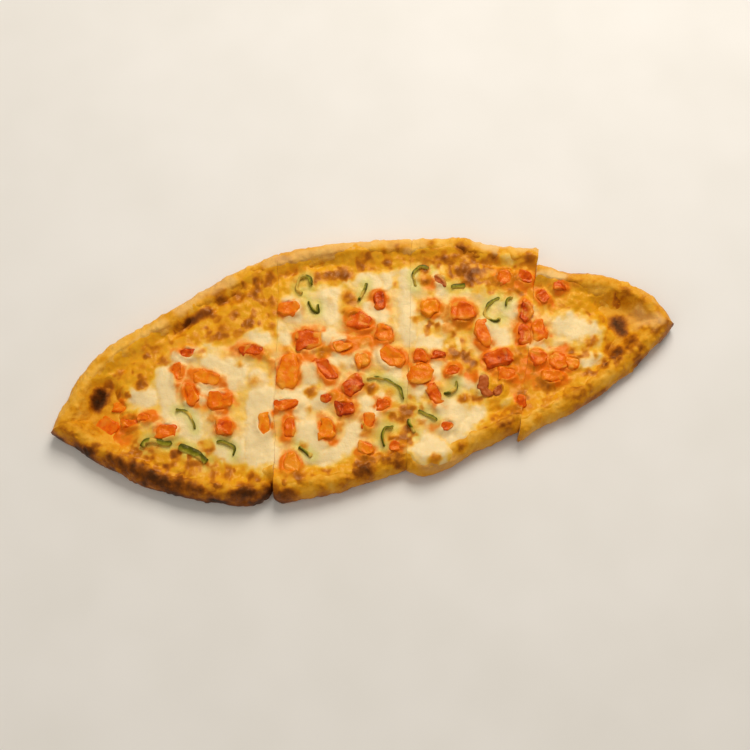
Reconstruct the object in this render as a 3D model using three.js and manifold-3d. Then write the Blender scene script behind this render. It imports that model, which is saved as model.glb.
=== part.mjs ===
// An open pide: a boat-shaped flatbread with a folded rim and pinched tips, filled with melted
// cheese, diced tomato, green pepper rings and a few bits of sausage, and cut across into four
// slices that still lie together. Millimetres, +Z up, +X from the left tip to the right tip,
// -Y the side nearest to someone who sits in front of it. The bottom is flat, at z = 0.
import * as THREE from "three";
import { mergeVertices } from "three/addons/utils/BufferGeometryUtils.js";
import Module from "manifold-3d";

const wasm = await Module();
wasm.setup();

// Driving dimensions of the dough
const FLOOR = 5; // dough under the filling
const CREST = 13.5; // mean height of the rim
const CREST_WAVE = 1.3; // how far the rim rises and falls along its length
const EDGE = 4.5; // height at which the outside of the rim is widest
const CREST_IN = 7.5; // from the outline in to the crest of the rim
const FLOOR_IN = 18; // from the outline in to the flat floor
const UNDERCUT = 3; // how far the rim's underside curls in before it lies flat
const TIP_LIFT = 2; // the pinched tips stand this much higher
const TIP_REACH = 30; // length of a pinched tip

// Driving dimensions of the filling
const CHEESE = 5.5; // cheese and sauce over the floor
const CHEESE_IN = 9; // the cheese begins this far in from the outline
const CHEESE_RAMP = 9; // and is full depth this much further in
const CREST_THIN = 0.7; // on the crest it has lost this share of its depth
const CHEESE_DIVE = 0.5; // slope of the unused part of the cheese sheet, below the rim
const DIVE_REACH = 5; // and how far out it slopes
const SHEET_BASE = 1.5; // underside of the cheese sheet before it is cut off above the dough
const CHEESE_WAVE = 0.5; // height of the soft mounds in the melted cheese
const TIP_BARE = 38; // the filling stops this far from a tip
const GAP = 0.3; // clearance between pieces that lie on each other
const TOPPING_INSET = 0.6; // a topping that was cut through ends this far behind the cut face
const CUT_INSET = 0.25; // the cheese ends this far behind the cut face of its dough

// How finely the surfaces are divided
const STATION_STEP = 6; // along the pide
const RIM_STEPS = [0, 1.2, 3.8, CREST_IN, 10.5, 14, FLOOR_IN];
const FLOOR_STEPS = 3; // across the hidden floor
const UNDER_STEPS = [1, UNDERCUT];
const SHEET_STEPS = [2.5, 6, 9, 12, 15, FLOOR_IN]; // the cheese sheet starts inside the outline
const SHEET_UNDER_STEPS = [3.5];
const CHEESE_STEPS = 12; // across the open cheese
const TIP_ROWS = 3; // a slice with a tip has this many more rows
const NARROW_SHARE = 0.45; // near a tip the rim takes up this share of the width on each side
const CURVE_STEPS = 40; // pieces of an edge curve when a distance to it is measured
const CHUNK_DIVISIONS = [2, 2, 2];
const SCRAP_DIVISIONS = [2, 2, 1];

// The outline, as stations from left to right: [far x, far y, near x, near y]. The far edge bellies
// out more than the near one, and the last slice has slipped towards the viewer.
const SLICES = [
  {
    tip: "start",
    stations: [
      [-178, 1.5, -178, -1.5],
      [-171, 13, -168, -9],
      [-157, 32, -152, -24],
      [-140, 45, -134, -37],
      [-116, 55, -117, -47],
      [-90, 67, -99, -54],
      [-62, 78, -82, -59],
      [-48, 82, -71, -60.5],
      [-35, 84.5, -61, -56],
    ],
  },
  {
    stations: [
      [-34.4, 85, -60.4, -61],
      [-10, 86, -38, -62.5],
      [14, 84, -13, -61],
      [43.6, 80, 14, -57],
    ],
  },
  {
    stations: [
      [44.2, 79.5, 14.6, -57.5],
      [58, 77.5, 24, -61.5],
      [73, 76, 38, -60],
      [86, 69.5, 52, -54],
      [100, 64.5, 66, -50],
      [116, 61, 81, -47],
    ],
  },
  {
    tip: "end",
    stations: [
      [113.3, 50.5, 79.9, -52.5],
      [126, 44.5, 96, -46],
      [142, 39, 116, -40],
      [158, 33, 137, -31],
      [170, 25, 155, -21.5],
      [179, 13.5, 171, -10.5],
      [183, 1.5, 183, -1.5],
    ],
  },
];

// Places where the cheese ran over the rim, and places where the rim stays bare further in:
// [x, y, radius, shift of the cheese's border towards the edge]
const CHEESE_BORDER = [
  [32, -58, 17, 8],
  [97, 62, 12, 6],
  [112, 56, 10, 6],
  [-20, 78, 22, -4],
  [-70, 68, 22, -5],
  [-100, 55, 20, -3],
  [-140, 25, 16, -3],
  [70, -46, 14, -3],
  [95, -44, 14, -3],
  [140, -22, 16, -4],
  [130, 36, 16, -2],
];

// Toppings as large as a berry, each a solid of its own: [slice, x, y, length, width, turn]
const TOMATOES = [
  [1, -148, -3, 15, 13, 50],
  [1, -114, -12, 12, 8, -10],
  [1, -87, 15, 15, 8, -20],
  [1, -97, 7, 13, 8, 100],
  [1, -82, 0, 12, 11, -10],
  [1, -82, -16, 9, 9, -10],
  [1, -59, -18, 12, 8, 75],
  [1, -60, 27, 14, 6.5, -15],
  [2, -41, 11, 20, 13, 70],
  [2, -26, 27, 15, 13, -10],
  [2, -20, 8, 15, 7.5, -67],
  [2, -34, 48, 11, 9, -10],
  [2, -45, -9, 12, 7, -10],
  [2, -45.5, -22, 12, 7, 80],
  [2, -25, -27, 13, 9, 80],
  [2, -48, -43, 12, 9, 80],
  [2, -8, 20, 13, 7.5, -10],
  [2, 4, 33, 15, 10, -30],
  [2, 17, 23, 11, 9.5, 80],
  [2, 1.5, 9, 9, 8.5, -10],
  [2, 18, 44, 11, 8, -90],
  [2, -6, -4, 13, 10, 50],
  [2, -13, -17, 11, 8, -10],
  [2, 19, 8, 14, 11, -30],
  [3, 33, -5, 13, 12, -10],
  [3, 38.5, -18, 13, 7, -79],
  [3, 46.5, 34, 11, 10, -10],
  [3, 63.5, 28, 14, 12, -10],
  [3, 72.5, 13, 16, 8, -86],
  [3, 78, -3.5, 17, 10, 5],
  [3, 81, -13, 10, 8, -10],
  [3, 99.5, 22, 11, 8, 70],
  [3, 96, 8, 12, 8, 80],
  [4, 104.5, 8, 13, 8, 80],
  [4, 100.5, -7, 9.5, 9, -10],
  [4, 111, -10.5, 10, 10, -10],
  [4, 106, -20, 11, 7.5, -10],
];
const SAUSAGE = [
  [3, 55, 49.5, 9, 6, -40],
  [3, 66.5, -18, 14, 6.5, -90],
  [3, 74, -22, 8, 6, 60],
];

// Smaller bits, fused to the cheese that they are baked into
const SCRAPS = [
  [1, -139, 9, 8, 6, -10],
  [1, -134, -3, 9, 5, -10],
  [1, -125, -2, 8, 5, -10],
  [1, -96, 32, 9, 6, -10],
  [1, -103, 22, 12, 4.5, 84],
  [2, -22, -9, 7, 5, -10],
  [2, 8, -19, 8, 7, -10],
  [2, -1, -27, 8, 7, 80],
  [2, -5.5, -42, 8, 8, -10],
  [2, 10.5, -44, 7, 6, -10],
  [3, 35, 6, 8, 8, -10],
  [3, 44.5, 5, 7, 5, -10],
  [3, 51, -6, 7, 6, -10],
  [3, 41.5, -37, 8, 5, -10],
  [3, 92, 45, 9, 8, -10],
  [3, 104, 42, 9, 7, -40],
  [3, 85, -31, 9, 5, 75],
  [4, 119, -14, 9, 8, -10],
  [4, 111, 29, 9, 7, -57],
  [4, 122, 33, 8, 6, -10],
];

// Strips and rings of pepper: slice, width of the strip, then the points that it runs through
const PEPPERS = [
  { slice: 1, wide: 2, path: [[-107, -1], [-102, -2], [-99, -7], [-98, -14]] },
  { slice: 1, wide: 4.2, path: [[-128, -19], [-125, -16], [-120, -17], [-111, -20]] },
  { slice: 1, wide: 5.5, path: [[-108, -22], [-103, -25], [-97, -30], [-94, -34]] },
  { slice: 1, wide: 1.8, path: [[-87, -23], [-82, -24.5], [-78, -28], [-79, -33]] },
  { slice: 2, wide: 2.4, path: [[-25, 56], [-28, 60], [-25, 66], [-20, 65], [-19.5, 60]] },
  { slice: 2, wide: 2, path: [[-23, 51], [-21, 45], [-18, 43.5], [-17.5, 48]] },
  { slice: 2, wide: 2, path: [[2, -2], [8, -2], [14, -5], [19, -10], [21, -18]] },
  { slice: 2, wide: 2, path: [[12, -32], [6.5, -33], [4.5, -38], [5, -43]] },
  { slice: 3, wide: 2, path: [[27.5, -25], [32, -28.5], [37, -33]] },
  { slice: 3, wide: 2.2, path: [[43, -18.5], [47, -18], [51, -16], [52, -12]] },
  { slice: 3, wide: 2.4, path: [[40, 48], [40, 56], [45, 60], [50, 58]] },
  { slice: 3, wide: 2.2, path: [[87, 33], [81, 31], [77, 27], [77, 22], [81, 19.5], [85, 20.5]] },
];
const PEPPER_SCRAPS = [
  { slice: 2, wide: 2.4, path: [[12.5, 56], [10, 51], [6, 46]] },
  { slice: 3, wide: 2.6, path: [[21.5, -29], [21.5, -33], [23, -38]] },
  { slice: 3, wide: 2.8, path: [[60, 44.5], [64, 44.5], [69, 43.5]] },
  { slice: 3, wide: 1.8, path: [[89, 27], [91, 30.5], [95, 31.5]] },
  { slice: 2, wide: 3, path: [[-42, -34], [-39, -37.5], [-36, -41]] },
];
const PEPPER_TALL = 3.4; // height of a pepper strip, partly sunk in the cheese
const PEPPER_PROUD = 0.5; // its middle stands this much over the cheese
const PEPPER_STEP = 3.6;
const PEPPER_BLUNT = 0.7; // its ends are this much thinner
const PEPPER_SIDES = 6;
const CHUNK_PROUD = 0.06; // share of a chunk's height that its middle stands over the cheese
const CHUNK_ROUND = 0.42; // 0 is a sharp cut block, 1 a ball
const CHUNK_BALL = 1.15; // radius of that ball, where half the block is 1
const CHUNK_JITTER = 0.09; // how uneven a chunk's corners are, as a share of its size
const CHUNK_TAPER = 0.35; // how much narrower its far end is at most
const CHUNK_TILT = 0.12; // how far its top leans at most
const CHUNK_BASE_HEIGHT = 2.6; // a chunk's height is this and a share of its width
const CHUNK_HEIGHT_SHARE = 0.42;
const CHUNK_TALLEST = 7;
const SEED_STEP = 7919;
const SAUSAGE_SEED = 90;
const SCRAP_SEED = 200;
const CORNER_TOLERANCE = 0.001; // corners nearer than this are one
const KNIFE_DEEP = 60;
const COLOURS = {
  dough: 0xcf8a2c,
  cheese: 0xeed9a2,
  tomato: 0xdc5a1c,
  sausage: 0x9c4630,
  pepper: 0x6f7d1e,
};

// A seeded stream of numbers from 0 to 1, so that every build is the same
function randomStream(seed) {
  let state = seed;
  return () => {
    state = (state * 16807) % 2147483647;
    return state / 2147483647;
  };
}

function smoothstep(t) {
  const c = THREE.MathUtils.clamp(t, 0, 1);
  return c * c * (3 - 2 * c);
}

// A point at share u of the way along one edge of a slice: offset 0 is the far edge, 2 the near one
function edgePoint(slice, u, offset) {
  const points = slice.stations.map((s) => new THREE.Vector3(s[offset], s[offset + 1], 0));
  return new THREE.CatmullRomCurve3(points, false, "catmullrom", 0.5).getPoint(u);
}

function stationEnds(slice, u) {
  return [edgePoint(slice, u, 2), edgePoint(slice, u, 0)];
}

for (const slice of SLICES) {
  slice.curves = [0, 2].map((offset) => {
    const samples = [];
    for (let i = 0; i <= CURVE_STEPS; i++) samples.push(edgePoint(slice, i / CURVE_STEPS, offset));
    return samples;
  });
  const last = slice.stations.length - 1;
  const span = slice.stations[last][0] - slice.stations[0][0];
  slice.steps = Math.round(span / STATION_STEP) + (slice.tip ? TIP_ROWS : 0);
  const tipStation = slice.stations[slice.tip === "start" ? 0 : last];
  slice.tipX = slice.tip ? tipStation[0] : undefined;
}

// Distance from a point to the outline, the cut faces left out
function edgeDistance(slice, x, y) {
  const point = new THREE.Vector3(x, y, 0);
  const near = new THREE.Vector3();
  let best = Infinity;
  for (const samples of slice.curves) {
    for (let i = 0; i < CURVE_STEPS; i++) {
      new THREE.Line3(samples[i], samples[i + 1]).closestPointToPoint(point, true, near);
      best = Math.min(best, near.distanceTo(point));
    }
  }
  return best;
}

function tipDistance(slice, x, y) {
  return slice.tip ? Math.hypot(x - slice.tipX, y) : Infinity;
}

// The uneven crest of the rim: long waves along the pide, and lumps where the dough was pinched
function crestHeight(slice, x, y) {
  const side = y > 0 ? 1 : -1;
  const long = Math.sin(x / 21 + 1.7 * side) + 0.6 * Math.sin(x / 8.3 + 0.9 * side);
  const lift = TIP_LIFT * smoothstep(1 - tipDistance(slice, x, y) / TIP_REACH);
  return CREST + CREST_WAVE * long * 0.7 + lift;
}

function doughTop(slice, x, y) {
  const d = edgeDistance(slice, x, y);
  const crest = crestHeight(slice, x, y);
  if (d < CREST_IN) {
    const t = 1 - d / CREST_IN;
    return EDGE + (crest - EDGE) * Math.sqrt(1 - t * t);
  }
  const t = Math.min(1, (d - CREST_IN) / (FLOOR_IN - CREST_IN));
  return FLOOR + (crest - FLOOR) * 0.5 * (1 + Math.cos(Math.PI * t));
}

// The cheese, which thins out on the inner slope of the rim. Outside its border the sheet dives
// under the dough, so that the border is where the two surfaces cross.
function cheeseTop(slice, x, y) {
  const d = edgeDistance(slice, x, y);
  let border = CHEESE_IN + 1.5 * Math.sin(x / 6.1 + y / 9);
  for (const [bx, by, radius, shift] of CHEESE_BORDER) {
    border -= shift * smoothstep(1 - Math.hypot(x - bx, y - by) / radius);
  }
  const fromTip = 0.6 * (tipDistance(slice, x, y) - TIP_BARE);
  const inside = Math.max(-DIVE_REACH, Math.min(d - border, fromTip));
  const mound = Math.sin(x / 5.7 + 0.6) * Math.sin(y / 6.3) + 0.5 * Math.sin((x - y) / 3.9);
  const full = CHEESE + CHEESE_WAVE * mound;
  const rise = Math.sin(0.5 * Math.PI * Math.min(1, inside / CHEESE_RAMP));
  const under = doughTop(slice, x, y);
  const onRim = THREE.MathUtils.clamp((under - FLOOR) / (CREST - FLOOR), 0, 1);
  const depth = inside > 0 ? full * rise * (1 - CREST_THIN * onRim) : inside * CHEESE_DIVE;
  return under + GAP + depth;
}

function solidOf(positions, triangles) {
  const mesh = new wasm.Mesh({
    numProp: 3,
    vertProperties: new Float32Array(positions),
    triVerts: new Uint32Array(triangles),
  });
  return new wasm.Manifold(mesh);
}

// A closed solid through a row of rings that all have the same number of points
function loft(rings) {
  const positions = rings.flat().flatMap((p) => [p.x, p.y, p.z]);
  const count = rings[0].length;
  const triangles = [];
  for (let i = 0; i < rings.length - 1; i++) {
    for (let j = 0; j < count; j++) {
      const a = i * count + j;
      const b = i * count + ((j + 1) % count);
      triangles.push(a, a + count, b + count, a, b + count, b);
    }
  }
  const cap = (ring, first, order) => {
    const along = new THREE.Vector3().subVectors(ring[ring.widest], ring[0]).setZ(0).normalize();
    const flat = ring.map((p) => new THREE.Vector2(p.x * along.x + p.y * along.y, p.z));
    const ringArea = THREE.ShapeUtils.area(flat);
    for (const [a, b, c] of THREE.ShapeUtils.triangulateShape(flat, [])) {
      const area = THREE.ShapeUtils.area([flat[a], flat[b], flat[c]]);
      if (area * ringArea * order > 0) triangles.push(first + a, first + b, first + c);
      else triangles.push(first + a, first + c, first + b);
    }
  };
  cap(rings[0], 0, 1);
  cap(rings[rings.length - 1], (rings.length - 1) * count, -1);
  return solidOf(positions, triangles);
}

// A row of points across a slice at share u, from its near edge to its far edge: one at each
// distance in from either edge, and the rest evenly between them
function crossRow(slice, u, distances, between, height) {
  const [near, far] = stationEnds(slice, u);
  const width = near.distanceTo(far);
  const scale = Math.min(1, (NARROW_SHARE * width) / FLOOR_IN) / width;
  const inner = distances.at(-1) * scale;
  const places = distances.map((distance) => [distance * scale, distance]);
  for (let k = 1; k < between; k++) {
    places.push([inner + ((1 - 2 * inner) * k) / between, width]);
  }
  places.push(...distances.toReversed().map((distance) => [1 - distance * scale, distance]));
  return places.map(([share, distance]) => {
    const p = new THREE.Vector3().lerpVectors(near, far, share);
    p.z = height(slice, p.x, p.y, distance);
    return p;
  });
}

function ringOf(top, under) {
  const ring = [...top, ...under.toReversed()];
  ring.widest = top.length - 1;
  return ring;
}

function underside(slice, x, y, distance) {
  const t = 1 - distance / UNDERCUT;
  return EDGE * (1 - Math.sqrt(1 - t * t));
}

function sliceShares(slice) {
  return Array.from({ length: slice.steps + 1 }, (_, i) => i / slice.steps);
}

function makeDough(slice) {
  const rings = sliceShares(slice).map((u) => {
    const top = crossRow(slice, u, RIM_STEPS, FLOOR_STEPS, doughTop);
    return ringOf(top, crossRow(slice, u, UNDER_STEPS, 1, underside));
  });
  return loft(rings);
}

// The cheese starts as a sheet over the whole slice, and later loses what lies in the dough
function makeSheet(slice) {
  const inset = CUT_INSET / (slice.steps * STATION_STEP);
  const shares = sliceShares(slice);
  shares[0] += slice.tip === "start" ? 0 : inset;
  shares[shares.length - 1] -= slice.tip === "end" ? 0 : inset;
  const used = shares.filter((u) => {
    const [near, far] = stationEnds(slice, u);
    return near.distanceTo(far) > 2 * FLOOR_IN;
  });
  const rings = used.map((u) => {
    const top = crossRow(slice, u, SHEET_STEPS, CHEESE_STEPS, cheeseTop);
    return ringOf(top, crossRow(slice, u, SHEET_UNDER_STEPS, 1, () => SHEET_BASE));
  });
  return loft(rings);
}

function largest(solid) {
  const bodies = solid.decompose();
  return bodies.reduce((a, b) => (a.volume() > b.volume() ? a : b));
}

function sharedCorners(geometry) {
  geometry.deleteAttribute("normal");
  geometry.deleteAttribute("uv");
  return mergeVertices(geometry, CORNER_TOLERANCE);
}

function solidOfGeometry(geometry) {
  return solidOf(geometry.getAttribute("position").array, geometry.index.array);
}

// An uneven chunk, as a knife leaves it: a block with rounded corners, one end narrower than the
// other, turned and sat into the cheese. grow makes it that much larger on every side.
function chunk([slice, x, y, length, width, turn], seed, divisions, grow = 0) {
  const random = randomStream(seed * SEED_STEP + 1);
  const uneven = (most) => most * 2 * (random() - 0.5);
  const height = Math.min(CHUNK_TALLEST, CHUNK_BASE_HEIGHT + CHUNK_HEIGHT_SHARE * width);
  const taper = CHUNK_TAPER * random();
  const tilt = uneven(CHUNK_TILT);
  const half = new THREE.Vector3(length / 2 + grow, width / 2 + grow, height / 2 + grow);
  const block = sharedCorners(new THREE.BoxGeometry(2, 2, 2, ...divisions));
  const place = block.getAttribute("position");
  const corner = new THREE.Vector3();
  for (let i = 0; i < place.count; i++) {
    corner.fromBufferAttribute(place, i);
    corner.lerp(corner.clone().normalize().multiplyScalar(CHUNK_BALL), CHUNK_ROUND);
    corner.y *= 1 - taper * (0.5 + 0.5 * corner.x);
    corner.z += tilt * corner.x;
    corner.add(new THREE.Vector3(uneven(CHUNK_JITTER), uneven(CHUNK_JITTER), uneven(CHUNK_JITTER)));
    corner.multiply(half);
    place.setXYZ(i, corner.x, corner.y, corner.z);
  }
  const seat = cheeseTop(SLICES[slice - 1], x, y) + CHUNK_PROUD * height;
  return solidOfGeometry(block).rotate([0, 0, turn]).translate([x, y, seat]);
}

// A strip of pepper that lies along a curve on the cheese, partly sunk in it
function strip({ slice, wide, path }, grow = 0) {
  const host = SLICES[slice - 1];
  const points = path.map(([x, y]) =>
    new THREE.Vector3(x, y, cheeseTop(host, x, y) + PEPPER_PROUD));
  const curve = new THREE.CatmullRomCurve3(points);
  const steps = Math.max(4, Math.round(curve.getLength() / PEPPER_STEP));
  const rings = [];
  for (let i = 0; i <= steps; i++) {
    const centre = curve.getPointAt(i / steps);
    const ahead = curve.getTangentAt(i / steps).setZ(0).normalize();
    centre.addScaledVector(ahead, i === 0 ? -grow : i === steps ? grow : 0);
    const side = new THREE.Vector3(-ahead.y, ahead.x, 0);
    const blunt = i === 0 || i === steps ? PEPPER_BLUNT : 1;
    const ring = [];
    for (let k = 0; k < PEPPER_SIDES; k++) {
      const angle = (-2 * Math.PI * k) / PEPPER_SIDES;
      const p = centre.clone().addScaledVector(side, (wide / 2 + grow) * blunt * Math.cos(angle));
      p.z += (PEPPER_TALL / 2 + grow) * blunt * Math.sin(angle);
      ring.push(p);
    }
    ring.widest = PEPPER_SIDES / 2;
    rings.push(ring);
  }
  return loft(rings);
}

// A thick upright wall outside a cut, which trims the toppings that were cut through
function knife(slice, end) {
  const [near, far] = stationEnds(slice, end);
  const wall = new THREE.BoxGeometry(near.distanceTo(far) + KNIFE_DEEP, KNIFE_DEEP, KNIFE_DEEP);
  const outward = end === 0 ? 1 : -1;
  wall.translate(0, outward * (KNIFE_DEEP / 2 - TOPPING_INSET), 0);
  wall.rotateZ(Math.atan2(far.y - near.y, far.x - near.x));
  wall.translate((near.x + far.x) / 2, (near.y + far.y) / 2, 0);
  return solidOfGeometry(sharedCorners(wall));
}

function meshOf(solid, name, colour, roughness) {
  const made = solid.getMesh();
  const geometry = new THREE.BufferGeometry();
  geometry.setAttribute("position", new THREE.BufferAttribute(made.vertProperties, 3));
  geometry.setIndex(new THREE.BufferAttribute(made.triVerts, 1));
  geometry.computeVertexNormals();
  const material = new THREE.MeshStandardMaterial({ color: colour, roughness, metalness: 0 });
  const mesh = new THREE.Mesh(geometry, material);
  mesh.name = name;
  return mesh;
}

const pide = new THREE.Group();
pide.name = "pide";

for (const [index, slice] of SLICES.entries()) {
  slice.dough = makeDough(slice);
  slice.sheet = makeSheet(slice);
  slice.cheese = slice.sheet;
  slice.knives = [];
  if (slice.tip !== "start") slice.knives.push(knife(slice, 0));
  if (slice.tip !== "end") slice.knives.push(knife(slice, 1));
  slice.taken = [];
  pide.add(meshOf(slice.dough, `dough_${index + 1}`, COLOURS.dough, 0.7));
}

function trimmed(solid, slice) {
  let left = solid;
  for (const wall of slice.knives) left = left.subtract(wall);
  return left;
}

SCRAPS.forEach((spec, i) => {
  const slice = SLICES[spec[0] - 1];
  const seed = SCRAP_SEED + i;
  slice.cheese = slice.cheese.add(trimmed(chunk(spec, seed, SCRAP_DIVISIONS), slice));
  slice.taken.push(chunk(spec, seed, SCRAP_DIVISIONS, GAP));
});
PEPPER_SCRAPS.forEach((spec) => {
  const slice = SLICES[spec.slice - 1];
  slice.cheese = slice.cheese.add(trimmed(strip(spec), slice));
  slice.taken.push(strip(spec, GAP));
});
for (const [index, slice] of SLICES.entries()) {
  slice.cheese = largest(slice.cheese.subtract(slice.dough.translate(0, 0, GAP)));
  pide.add(meshOf(slice.cheese, `cheese_${index + 1}`, COLOURS.cheese, 0.45));
}

// A topping keeps what shows over the cheese, clear of the toppings that were laid before it
function lay(solid, larger, slice, name, colour, roughness) {
  let left = trimmed(solid, slice);
  left = left.subtract(slice.sheet).subtract(slice.sheet.translate(0, 0, GAP));
  left = left.subtract(slice.dough.translate(0, 0, GAP));
  for (const other of slice.taken) left = left.subtract(other);
  slice.taken.push(larger);
  pide.add(meshOf(largest(left), name, colour, roughness));
}

function layChunk(spec, seed, name, colour, roughness) {
  const solid = chunk(spec, seed, CHUNK_DIVISIONS);
  const larger = chunk(spec, seed, CHUNK_DIVISIONS, GAP);
  lay(solid, larger, SLICES[spec[0] - 1], name, colour, roughness);
}

function numbered(kind, i) {
  return `${kind}_${String(i + 1).padStart(2, "0")}`;
}

TOMATOES.forEach((spec, i) => layChunk(spec, i + 1, numbered("tomato", i), COLOURS.tomato, 0.3));
SAUSAGE.forEach((spec, i) => {
  layChunk(spec, SAUSAGE_SEED + i, numbered("sausage", i), COLOURS.sausage, 0.4);
});
PEPPERS.forEach((spec, i) => {
  const slice = SLICES[spec.slice - 1];
  lay(strip(spec), strip(spec, GAP), slice, numbered("pepper", i), COLOURS.pepper, 0.35);
});

// The origin is under the middle of the pide's box, on the surface that it lies on
const bounds = new THREE.Box3().setFromObject(pide);
const middle = bounds.getCenter(new THREE.Vector3());
for (const mesh of pide.children) mesh.position.set(-middle.x, -middle.y, 0);

export default pide;
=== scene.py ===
# %% [markdown]
# # A baked pide, cut into four slices
# A pide is a boat-shaped flatbread: a long oval of dough whose edge is folded in and pinched into
# two tips. This one holds melted cheese, diced tomato, strips of green pepper and a few bits of
# sausage, and a knife has cut it across three times. We load the measured solids first, because
# they say where every piece lies. Then each solid gets a finely modelled piece in the same place.

# %% Load the measured solids
import math
import bpy
import numpy as np
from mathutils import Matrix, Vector


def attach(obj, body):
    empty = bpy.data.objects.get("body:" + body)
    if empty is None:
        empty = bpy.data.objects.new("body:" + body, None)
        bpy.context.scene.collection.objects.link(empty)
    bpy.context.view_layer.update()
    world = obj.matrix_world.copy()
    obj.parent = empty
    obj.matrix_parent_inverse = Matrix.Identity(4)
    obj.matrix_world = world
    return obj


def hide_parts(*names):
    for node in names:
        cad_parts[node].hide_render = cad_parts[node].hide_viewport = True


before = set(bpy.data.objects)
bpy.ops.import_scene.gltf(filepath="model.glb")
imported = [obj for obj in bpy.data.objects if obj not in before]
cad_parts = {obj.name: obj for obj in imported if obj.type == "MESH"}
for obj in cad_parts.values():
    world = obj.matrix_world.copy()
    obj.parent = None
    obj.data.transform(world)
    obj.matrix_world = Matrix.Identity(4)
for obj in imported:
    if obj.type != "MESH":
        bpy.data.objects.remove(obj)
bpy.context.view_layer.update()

MM = 0.001

# %% [markdown]
# ## The camera
# The pide is seen from above, 72 degrees up, from a little to the left. A lens of 60 mm, about
# 0.7 m away, gives the same slight narrowing towards the far edge. We write the place in
# millimetres from the middle between the two tips, as a person at the bench would measure it, and
# move it into the frame of the solids, whose origin is under the middle of their box.

# %% Camera
BENCH_SHIFT = np.array([2.5, 11.77, 0.0])
CAMERA_PLACE = (-32.46, -216.47, 686.71)
CAMERA_TARGET = (7.425, 0.85, 6.707)
CAMERA_LENS = 60


def to_frame(points):
    """Points in bench millimetres as points in the frame of the solids, in metres."""
    return (np.asarray(points, float) - BENCH_SHIFT) * MM


bpy.ops.object.camera_add(location=to_frame(CAMERA_PLACE))
camera = bpy.context.object
camera.name = "bench_camera"
camera.data.lens = CAMERA_LENS
camera.data.sensor_width = 36
aim = Vector(to_frame(CAMERA_TARGET)) - camera.location
camera.rotation_euler = aim.to_track_quat("-Z", "Y").to_euler()
bpy.context.scene.camera = camera
print("camera", round(aim.length, 3), "m from the pide")

# %% [markdown]
# ## Noise
# Baked food is uneven at every size, from the long swell of the rim down to single bubbles. Two
# kinds of noise give this. Soft noise is a smooth landscape of hills. Cell noise scatters seeds
# and measures how far the nearest one is, which gives bubbles and blisters. Both are worked out
# here with numpy, so that the same pattern can move the mesh and also steer its colours.

# %% Soft noise and cell noise
HASH_A, HASH_B, HASH_C, HASH_D = 374761393, 668265263, 2246822519, 3266489917
HASH_MIX = 1274126177
WORD = 0xFFFFFFFF
NOISE_START = 512.0


def lattice(ix, iy, iz, seed):
    """A fixed random number from 0 to 1 for each whole-number place."""
    h = (ix * HASH_A + iy * HASH_B + iz * HASH_C + seed * HASH_D) & WORD
    h = ((h ^ (h >> 13)) * HASH_MIX) & WORD
    return (h ^ (h >> 16)) / WORD


def noise(x, y, size, seed, z=0.0):
    """Soft noise from -1 to 1, with hills about `size` millimetres apart."""
    place = [np.asarray(v, float) / size + NOISE_START for v in np.broadcast_arrays(x, y, z)]
    whole = [np.floor(v).astype(np.int64) for v in place]
    part = [v - w for v, w in zip(place, whole)]
    part = [v * v * v * (v * (v * 6 - 15) + 10) for v in part]
    total = 0.0
    for dx in (0, 1):
        for dy in (0, 1):
            for dz in (0, 1):
                share = (part[0] if dx else 1 - part[0]) * (part[1] if dy else 1 - part[1])
                share = share * (part[2] if dz else 1 - part[2])
                total = total + share * lattice(whole[0] + dx, whole[1] + dy, whole[2] + dz, seed)
    return total * 2 - 1


def cells(x, y, size, seed):
    """Distance to the nearest seed, in shares of `size`, and a random number for that seed."""
    px, py = (np.asarray(v, float) / size + NOISE_START for v in (x, y))
    ix, iy = np.floor(px).astype(np.int64), np.floor(py).astype(np.int64)
    nearest = np.full(px.shape, 9.0)
    chance = np.zeros(px.shape)
    for dx in (-1, 0, 1):
        for dy in (-1, 0, 1):
            sx = ix + dx + lattice(ix + dx, iy + dy, 0, seed)
            sy = iy + dy + lattice(ix + dx, iy + dy, 1, seed)
            gap = np.hypot(px - sx, py - sy)
            closer = gap < nearest
            nearest = np.where(closer, gap, nearest)
            chance = np.where(closer, lattice(ix + dx, iy + dy, 2, seed), chance)
    return nearest, chance


def smooth(t):
    """Ease from 0 to 1 as t goes from 0 to 1."""
    t = np.clip(t, 0, 1)
    return t * t * (3 - 2 * t)


print("noise at one place", round(float(noise(1.0, 2.0, 5.0, 1)), 3))

# %% [markdown]
# One noise alone looks like a pattern. Real roughness has large hills with small ones on them, so
# we add a few layers, each with a size and a height in millimetres. The same layers can also push
# points about before a shape is drawn at them, and a round spot then gets the ragged edge that
# browning has.

# %% Layers of noise, and ragged edges
def layered(x, y, layers, seed, z=0.0):
    """Layers of soft noise on each other. Each has a size and a height, and a seed of its own."""
    return sum(height * noise(x, y, size, seed + i, z) for i, (size, height) in enumerate(layers))


def ragged(x, y, layers, seed):
    """Points pushed about by layers of noise, so that what is drawn at them gets a ragged edge."""
    return x + layered(x, y, layers, seed), y + layered(x, y, layers, seed + len(layers))


print("pushed by", round(float(ragged(1.0, 2.0, [(5.0, 1.0)], 1)[0]) - 1, 3), "mm")

# %% [markdown]
# ## The outline
# The outline is a row of stations from the left tip to the right one. At each station we know the
# point on the far edge and the point on the near edge, and a smooth curve runs through them. The
# knife cut between two stations, so each slice has its own row. The last slice has slipped a
# centimetre towards the viewer.

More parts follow.
